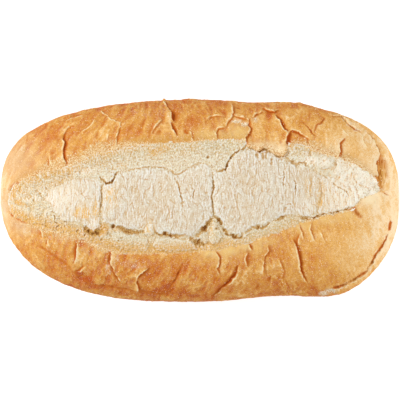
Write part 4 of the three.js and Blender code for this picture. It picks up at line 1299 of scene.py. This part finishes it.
def crumbRelief(ground, onPlate):
    # bumps, slits and fine cracks along the plates, grains and lumps on the ledges
    form, flat, plan = crumbRough, ground.flat, ground.plan
    sway = np.column_stack([noiseAt(flat, *lumps) for lumps in form["swayLumps"]]) * form["sway"]
    swayed = flat + np.column_stack([sway, np.zeros(len(flat))])
    fibre = noiseAt(swayed, *form["fibreLumps"])
    slit = (1 - np.clip(form["slitThin"] * np.abs(noiseAt(swayed, *form["slitLumps"])), 0, 1)) ** 2
    slit *= ease(noiseAt(flat, *form["slitField"]), *form["slitFrom"])
    _, seams = cellsAt(plan + form["crackleSway"] * sway, *form["crackleCells"])
    crackle = 1 - ease(seams, *form["crackleWidth"])
    crackle *= ease(noiseAt(flat, *form["crackleField"]), *form["crackleFrom"])
    cells = form["cellTop"] - cellsAt(plan + sway, *form["cells"])[0]
    swell = noiseAt(swayed, *form["swellLumps"])
    bumps = form["cell"] * cells + form["fibre"] * fibre + form["swell"] * swell
    bumps -= form["slit"] * slit + form["crackle"] * crackle
    grit = form["gritTop"] - cellsAt(plan + form["gritSway"] * sway, *form["gritCells"])[0]
    fineGrit = form["gritTop"] - cellsAt(plan, *form["fineGritCells"])[0]
    lump = noiseAt(flat, *form["lumpLumps"]) + form["smallLump"] * noiseAt(flat, *form["smallLumps"])
    lump *= bySide(ground.x, ledgeLumps, ground.atBack)
    loose = 1 - onPlate
    relief = onPlate * form["bumpRise"] * bumps + loose * (form["gritRise"] * grit + lump)
    relief += (form["plateGrit"] + form["ledgeGrit"] * loose) * form["fineGritRise"] * fineGrit
    return relief * ease(ground.inward, *form["inside"])


# colours of the crumb: places in millimetres along the loaf or in from the borders, and strengths
crumbTone = {
    # hollows and peaks of the height, for painted shade and painted highlight
    "fineSpan": (4, 2), "fineDepth": 0.12,      # hollows are told against so many neighbours
    "broadSpan": (14, 8), "broadDepth": 0.7,
    "fineLimits": (-1.2, 1.2), "broadLimits": (-0.6, 0.3), "ledgeBroad": 0.5,
    "frontCalm": 0.35, "backCalm": 0.1, "rightCalm": 0.45, "rightCalmFrom": (55, 85),
    "leftEnd": (-115, -55), "rightEnd": (72, 98), "tip": (-122, -100),
    "frontToast": (-2, 14),
    "leftToast": (0, 12), "plateToast": 0.75,
    "patchLumps": ((4.0, 3.0, 1), 18), "patchLevel": 0.75, "patchSwing": 1.7, "patchMost": 1.2,
    "patchFade": 0.35, "patchIn": (2, 9), "leftCream": 0.6, "leftCreamFrom": (-0.15, 0.3),
    "backToastFall": 0.04, "backToastSwing": 0.3, "backToastLumps": ((9, 5, 1), 20),
    "crumblyAt": 0.6, "crumblyWidth": 1.4, "crumblyFrom": (-0.8, -0.2),
    "looseIn": (0.3, 2.0), "looseDark": (0.1, 0.5), "looseRight": 0.7, "looseRightFrom": (55, 80),
    "backCream": 0.3, "backCreamIn": (4, 12), "frontCream": 0.1, "frontCreamIn": (4, 9),
    "leftGold": 0.4, "plateGold": 0.55, "goldFrom": (60, 80),
    # hollows at the right painted golden as shade
    "hollowGoldShade": 1.5, "hollowFrom": 0.15, "hollowMost": 0.6,
}


def crumbTones(ground, onPlate, dark):
    # attributes of the crumb's colours, from its heights and its places, with painted shade in hollows and
    # painted highlight on peaks
    tone, x, flat, inward = crumbTone, ground.x, ground.flat, ground.inward
    backIn, frontIn, atBack = ground.backIn, ground.frontIn, ground.atBack
    loose = 1 - onPlate
    height = ground.points[:, 2].reshape(crumbShape["stations"], crumbShape["across"])
    fine = (height - soften(height, tone["fineSpan"])).ravel() / tone["fineDepth"]
    broad = (height - soften(height, tone["broadSpan"])).ravel() / tone["broadDepth"]
    backCalm = tone["backCalm"] + tone["rightCalm"] * ease(x, *tone["rightCalmFrom"])
    calm = 1 - loose * np.where(atBack, backCalm, tone["frontCalm"])
    broadPart = (1 - tone["ledgeBroad"] * loose) * np.clip(broad, *tone["broadLimits"])

    leftEnd = 1 - ease(x, *tone["leftEnd"])
    tip = 1 - ease(x, *tone["tip"])
    patchy = noiseAt(flat, *tone["patchLumps"])
    deepIn = ease(inward, *tone["patchIn"])
    frontToast = loose * (1 - ease(frontIn, *tone["frontToast"])) * byColumn(x, ledgeToast, "front")
    nearBorder = np.maximum(1 - ease(inward, *tone["leftToast"]), tip)
    leftToast = leftEnd * (1 - tone["plateToast"] * onPlate) * nearBorder
    spotty = tone["patchLevel"] + tone["patchSwing"] * patchy - tone["patchFade"] * deepIn
    leftToast *= np.clip(spotty, 0, tone["patchMost"])
    leftCream = tone["leftCream"] * leftEnd * ease(-patchy, *tone["leftCreamFrom"]) * deepIn
    backToast = byColumn(x, ledgeToast, "back") - tone["backToastFall"] * backIn
    backToast += tone["backToastSwing"] * noiseAt(flat, *tone["backToastLumps"])
    backToast = loose * np.clip(backToast, 0, None)

    rightLoose = 1 - tone["looseRight"] * ease(x, *tone["looseRightFrom"])
    ledgeCream = loose * np.where(atBack, tone["backCream"] * ease(backIn, *tone["backCreamIn"]),
                                  tone["frontCream"] * ease(frontIn, *tone["frontCreamIn"]))
    atRight = ease(x, *tone["goldFrom"])
    # golden painted shade in the broad hollows
    goldenShadeInHollows = np.clip(-broad - tone["hollowFrom"], 0, tone["hollowMost"])
    border = bell((frontIn - tone["crumblyAt"]) / tone["crumblyWidth"])
    return {
        "crackDark": dark,
        # painted shade in the hollows and painted highlight on the peaks
        "cavity": calm * (np.clip(fine, *tone["fineLimits"]) + broadPart),
        "ledge": loose,
        "crumbly": loose * border * ease(inward, *tone["crumblyFrom"]),
        "loose": loose * ease(inward, *tone["looseIn"]) * (1 - ease(dark, *tone["looseDark"])) * rightLoose,
        "cream": np.maximum.reduce([
            ease(x, *tone["rightEnd"]), patchField(ground.points, creamCrumb), leftCream, ledgeCream]),
        # toasted borders, and the painted shade of the hollow and groove under the left plate
        "toast": np.maximum.reduce([
            frontToast, leftToast, backToast, patchField(ground.points, toastedCrumbAndHollowShade)]),
        # golden places, and golden painted shade in the hollows at the right
        "golden": np.maximum.reduce([
            tone["leftGold"] * leftEnd, patchField(ground.points, goldenCrumb),
            tone["plateGold"] * atRight * onPlate, tone["hollowGoldShade"] * atRight * loose * goldenShadeInHollows]),
    }


def shutSlab(name, grid, normals, attributes, material):
    # a grid of points with flat sides and a floor under it
    count, wide = grid.shape[:2]
    rim = np.concatenate([
        np.arange(wide), wide * np.arange(1, count) + wide - 1,
        (count - 1) * wide + np.arange(wide - 2, -1, -1), wide * np.arange(count - 2, 0, -1)])
    points = grid.reshape(-1, 3)
    index = np.arange(count * wide).reshape(count, wide)
    foot = points[rim] - [0, 0, crumbShape["slab"]]
    middle = foot.mean(axis=0)
    low = count * wide + np.arange(len(rim))
    top = np.stack([index[:-1, :-1], index[1:, :-1], index[1:, 1:], index[:-1, 1:]], axis=-1).reshape(-1, 4)
    sides = np.stack([rim, np.roll(rim, -1), np.roll(low, -1), low], axis=-1)
    floor = np.column_stack([np.full(len(rim), count * wide + len(rim)), low, np.roll(low, -1)])
    extra = len(rim) + 1
    return newPiece(
        name, np.vstack([points, foot, [middle]]),
        np.vstack([normals.reshape(-1, 3), np.tile([0.0, 0.0, -1.0], (extra, 1))]),
        np.vstack([top, sides]), floor,
        {key: np.concatenate([values, np.zeros(extra)]) for key, values in attributes.items()}, material)


def makeCrumb(material):
    ground = crumbGround()
    rise, onPlate = platesAt(ground)
    groove, dark = crumbGaps(ground, onPlate)
    ground.points[:, 2] += rise - crumbDrop(ground) - groove + crumbRelief(ground, onPlate)
    attributes = crumbTones(ground, onPlate, dark)

    # two halves that meet at the middle, each shut by a slab under it
    grid = ground.points.reshape(crumbShape["stations"], crumbShape["across"], 3)
    normals = gridNormals(grid)
    seam = crumbShape["stations"] // 2
    pieces = []
    for name, rows in (("crumb_left", slice(0, seam + 1)), ("crumb_right", slice(seam, None))):
        kept = {key: values.reshape(grid.shape[:2])[rows].ravel() for key, values in attributes.items()}
        pieces.append(shutSlab(name, grid[rows], normals[rows], kept, material))
    return pieces


# grains scattered over the crust or the crumb: the attribute that says where, how many to a square
# millimetre at most, radius in millimetres, height against width, and look
grainSets = {
    "crumb_grains": {"on": "crumb", "where": "loose", "density": 0.7, "smallest": 0.18, "largest": 0.5,
                     "flatness": 0.8, "seed": 4, "look": "loose crumb"},
    "border_crumbs": {"on": "crumb", "where": "crumbly", "density": 0.35, "smallest": 0.35, "largest": 0.95,
                      "flatness": 0.7, "seed": 6, "look": "loose crumb"},
    "fringe_crumbs": {"on": "crust", "where": "crumbly", "density": 0.8, "smallest": 0.16, "largest": 0.5,
                      "flatness": 0.7, "seed": 14, "look": "fringe crumb"},
    "flour_specks": {"on": "crust", "where": "flour", "density": 0.5, "smallest": 0.12, "largest": 0.34,
                     "flatness": 0.5, "seed": 9, "look": "flour"},
}
grainLooks = {
    "loose crumb": {"dark": tint(206, 178, 128), "light": tint(246, 238, 216),
                    "toasted": tint(226, 178, 108), "roughness": 0.8},
    "flour": {"dark": tint(226, 172, 104), "light": tint(252, 234, 202),
              "toasted": tint(252, 234, 202), "roughness": 0.7},
    "fringe crumb": {"dark": tint(206, 148, 76), "light": tint(247, 228, 188),
                     "toasted": tint(226, 178, 108), "roughness": 0.8},
}
grainForm = {
    "roundness": 1,            # subdivisions of a grain
    "lumpSize": 0.5, "lumpDepth": 0.7, "lumpMiddle": (0.5, 0.5, 0.5),
    "specular": 0.15,
    "grit": ((0.5, 0.5, 0.5), 2.0),
    "shadeShift": (0.3, 0.7, 0.3), "shade": (0.0, 1.0), "toast": (0.3, 1.0, 0.0, 0.8),
    "gritBump": 0.2,
}


def grainTree(name, where, material):
    # spreads lumpy grains over two joined surfaces, thicker where the attribute is higher
    tree = bpy.data.node_groups.new(name, "GeometryNodeTree")
    kinds = {"Geometry": "Geometry", "other": "Object", "density": "Float", "smallest": "Float",
             "largest": "Float", "flatness": "Float", "seed": "Int"}
    sockets = {}
    for label, kind in kinds.items():
        socket = tree.interface.new_socket(label, in_out="INPUT", socket_type="NodeSocket" + kind)
        sockets[label] = socket.identifier
    tree.interface.new_socket("Geometry", in_out="OUTPUT", socket_type="NodeSocketGeometry")

    def add(kind, values, **settings):
        return addNode(tree, kind, values, **settings).outputs

    given = add("NodeGroupInput", {})
    other = add("GeometryNodeObjectInfo", {"Object": given["other"]})
    both = add("GeometryNodeJoinGeometry", {"Geometry": [given["Geometry"], other["Geometry"]]})
    amount = add("GeometryNodeInputNamedAttribute", {"Name": where}, data_type="FLOAT")
    density = add("ShaderNodeMath", {0: amount["Attribute"], 1: given["density"]}, operation="MULTIPLY")
    spread = add("GeometryNodeDistributePointsOnFaces",
                 {"Mesh": both["Geometry"], "Density": density[0], "Seed": given["seed"]},
                 distribute_method="RANDOM")
    grain = add("GeometryNodeMeshIcoSphere", {"Radius": 1.0, "Subdivisions": grainForm["roundness"]})
    # sockets 2 and 3 of a random value are its least and most as a number, and output 1 is that number
    size = add("FunctionNodeRandomValue",
               {2: given["smallest"], 3: given["largest"], "Seed": given["seed"]}, data_type="FLOAT")
    height = add("ShaderNodeMath", {0: size[1], 1: given["flatness"]}, operation="MULTIPLY")
    scale = add("ShaderNodeCombineXYZ", {"X": size[1], "Y": size[1], "Z": height[0]})
    placed = add("GeometryNodeInstanceOnPoints", {
        "Points": spread["Points"], "Instance": grain["Mesh"], "Rotation": spread["Rotation"],
        "Scale": scale["Vector"]})
    shade = add("FunctionNodeRandomValue", {"Seed": given["seed"]}, data_type="FLOAT")
    named = add("GeometryNodeStoreNamedAttribute",
                {"Name": "shade", "Geometry": placed["Instances"], "Value": shade[1]},
                data_type="FLOAT", domain="INSTANCE")
    real = add("GeometryNodeRealizeInstances", {"Geometry": named["Geometry"]})
    lumps = add("ShaderNodeTexNoise", {"Scale": 1 / (grainForm["lumpSize"] * mm)})
    centred = add("ShaderNodeVectorMath", {0: lumps["Color"], 1: grainForm["lumpMiddle"]},
                  operation="SUBTRACT")
    offset = add("ShaderNodeVectorMath", {0: centred["Vector"], "Scale": grainForm["lumpDepth"] * mm},
                 operation="SCALE")
    moved = add("GeometryNodeSetPosition", {"Geometry": real["Geometry"], "Offset": offset["Vector"]})
    smooth = add("GeometryNodeSetShadeSmooth", {"Geometry": moved["Geometry"]})
    finish = add("GeometryNodeSetMaterial", {"Geometry": smooth["Geometry"], "Material": material})
    add("NodeGroupOutput", {"Geometry": finish["Geometry"]})
    return tree, sockets


def scatterGrains(name, surfaces, grains, material):
    tree, sockets = grainTree(name, grains["where"], material)
    host, other = surfaces
    modifier = host.modifiers.new(name, "NODES")
    modifier.node_group = tree
    modifier[sockets["other"]] = other
    modifier[sockets["density"]] = grains["density"] / mm ** 2
    modifier[sockets["smallest"]] = grains["smallest"] * mm
    modifier[sockets["largest"]] = grains["largest"] * mm
    modifier[sockets["flatness"]] = grains["flatness"]
    modifier[sockets["seed"]] = grains["seed"]
    evaluated = host.evaluated_get(bpy.context.evaluated_depsgraph_get())
    mesh = bpy.data.meshes.new_from_object(evaluated)
    host.modifiers.remove(modifier)
    mesh.name = name
    piece = bpy.data.objects.new(name, mesh)
    scene.collection.objects.link(piece)
    print("%s: %d triangles" % (name, len(mesh.polygons)))
    return piece


def grainFinish(name, dark, light, toasted, roughness):
    # grains differ in shade, and brown where the surface under them is toasted
    form = grainForm
    finish = Finish(name, {"Roughness": roughness, "Specular IOR Level": form["specular"]})
    grit = finish.noise(*form["grit"])
    shade = finish.uneven(finish.attribute("shade"), grit, *form["shadeShift"])
    colour = finish.mix(finish.between(shade, *form["shade"]), dark, light)
    colour = finish.mix(finish.between(finish.attribute("toast"), *form["toast"]), colour, toasted)
    finish.colour(colour)
    finish.bump(grit, form["gritBump"])
    return finish.material


white = (1, 1, 1, 1)
stage = {
    "floorSize": 8.0,
    "floor": {"Roughness": 0.9, "Specular IOR Level": 0.1, "Base Color": (0.5, 0.5, 0.5, 1),
              "Emission Color": white, "Emission Strength": 0.75},
    "skyStrength": 0.25,
    "aimAt": (0, 0, 0.04),
    "lights": {
        # where it stands, its size and its power
        "leftSoftbox": ((-2.5, 0.5, 1.7), (0.8, 1.2), 64.0),
        "rightSoftbox": ((2.6, -0.1, 1.2), (1.0, 1.8), 40.0),
        "overhead": ((0.0, 0.0, 3.4), (2.4, 1.8), 38.0),
    },
    "sensorWidth": 36.0,
    "clipEnd": 50.0,
}


def setStage():
    span = stage["floorSize"] / 2
    mesh = bpy.data.meshes.new("floor")
    corners = [(-span, -span, 0), (span, -span, 0), (span, span, 0), (-span, span, 0)]
    mesh.from_pydata(corners, [], [(0, 1, 2, 3)])
    mesh.materials.append(Finish("pale floor", stage["floor"]).material)
    floor = bpy.data.objects.new("floor", mesh)
    scene.collection.objects.link(floor)
    world = bpy.data.worlds.new("studio")
    world.use_nodes = True
    sky = next(n for n in world.node_tree.nodes if n.type == "BACKGROUND")
    sky.inputs["Color"].default_value = white
    sky.inputs["Strength"].default_value = stage["skyStrength"]
    scene.world = world
    for name, (place, size, power) in stage["lights"].items():
        lamp = bpy.data.lights.new(name, "AREA")
        lamp.shape = "RECTANGLE"
        lamp.size, lamp.size_y = size
        lamp.energy = power
        softbox = bpy.data.objects.new(name, lamp)
        softbox.location = place
        scene.collection.objects.link(softbox)
        towards = Vector(stage["aimAt"]) - softbox.location
        softbox.rotation_euler = towards.to_track_quat("-Z", "Y").to_euler()
    scene.view_settings.view_transform = "Standard"
    print("stage set")


def setCamera():
    data = bpy.data.cameras.new("overhead camera")
    data.sensor_width = stage["sensorWidth"]
    away = photo["cameraHeight"] - loafForm["waistHeight"]
    data.lens = data.sensor_width * away / (photo["size"] * mmPerPixel)
    data.clip_end = stage["clipEnd"]
    camera = bpy.data.objects.new("overhead camera", data)
    camera.location = (0, middleShift * mm, photo["cameraHeight"] * mm)
    scene.collection.objects.link(camera)
    scene.camera = camera


surfaces = {"crust": makeCrust(crustFinish()), "crumb": makeCrumb(crumbFinish())}
grainFinishes = {name: grainFinish(name, **look) for name, look in grainLooks.items()}
pieces = [*surfaces["crust"], *surfaces["crumb"]]
for name, grains in grainSets.items():
    pieces.append(scatterGrains(name, surfaces[grains["on"]], grains, grainFinishes[grains["look"]]))
for piece in pieces:
    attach(piece, "root")
    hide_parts("loaf")
setStage()
setCamera()
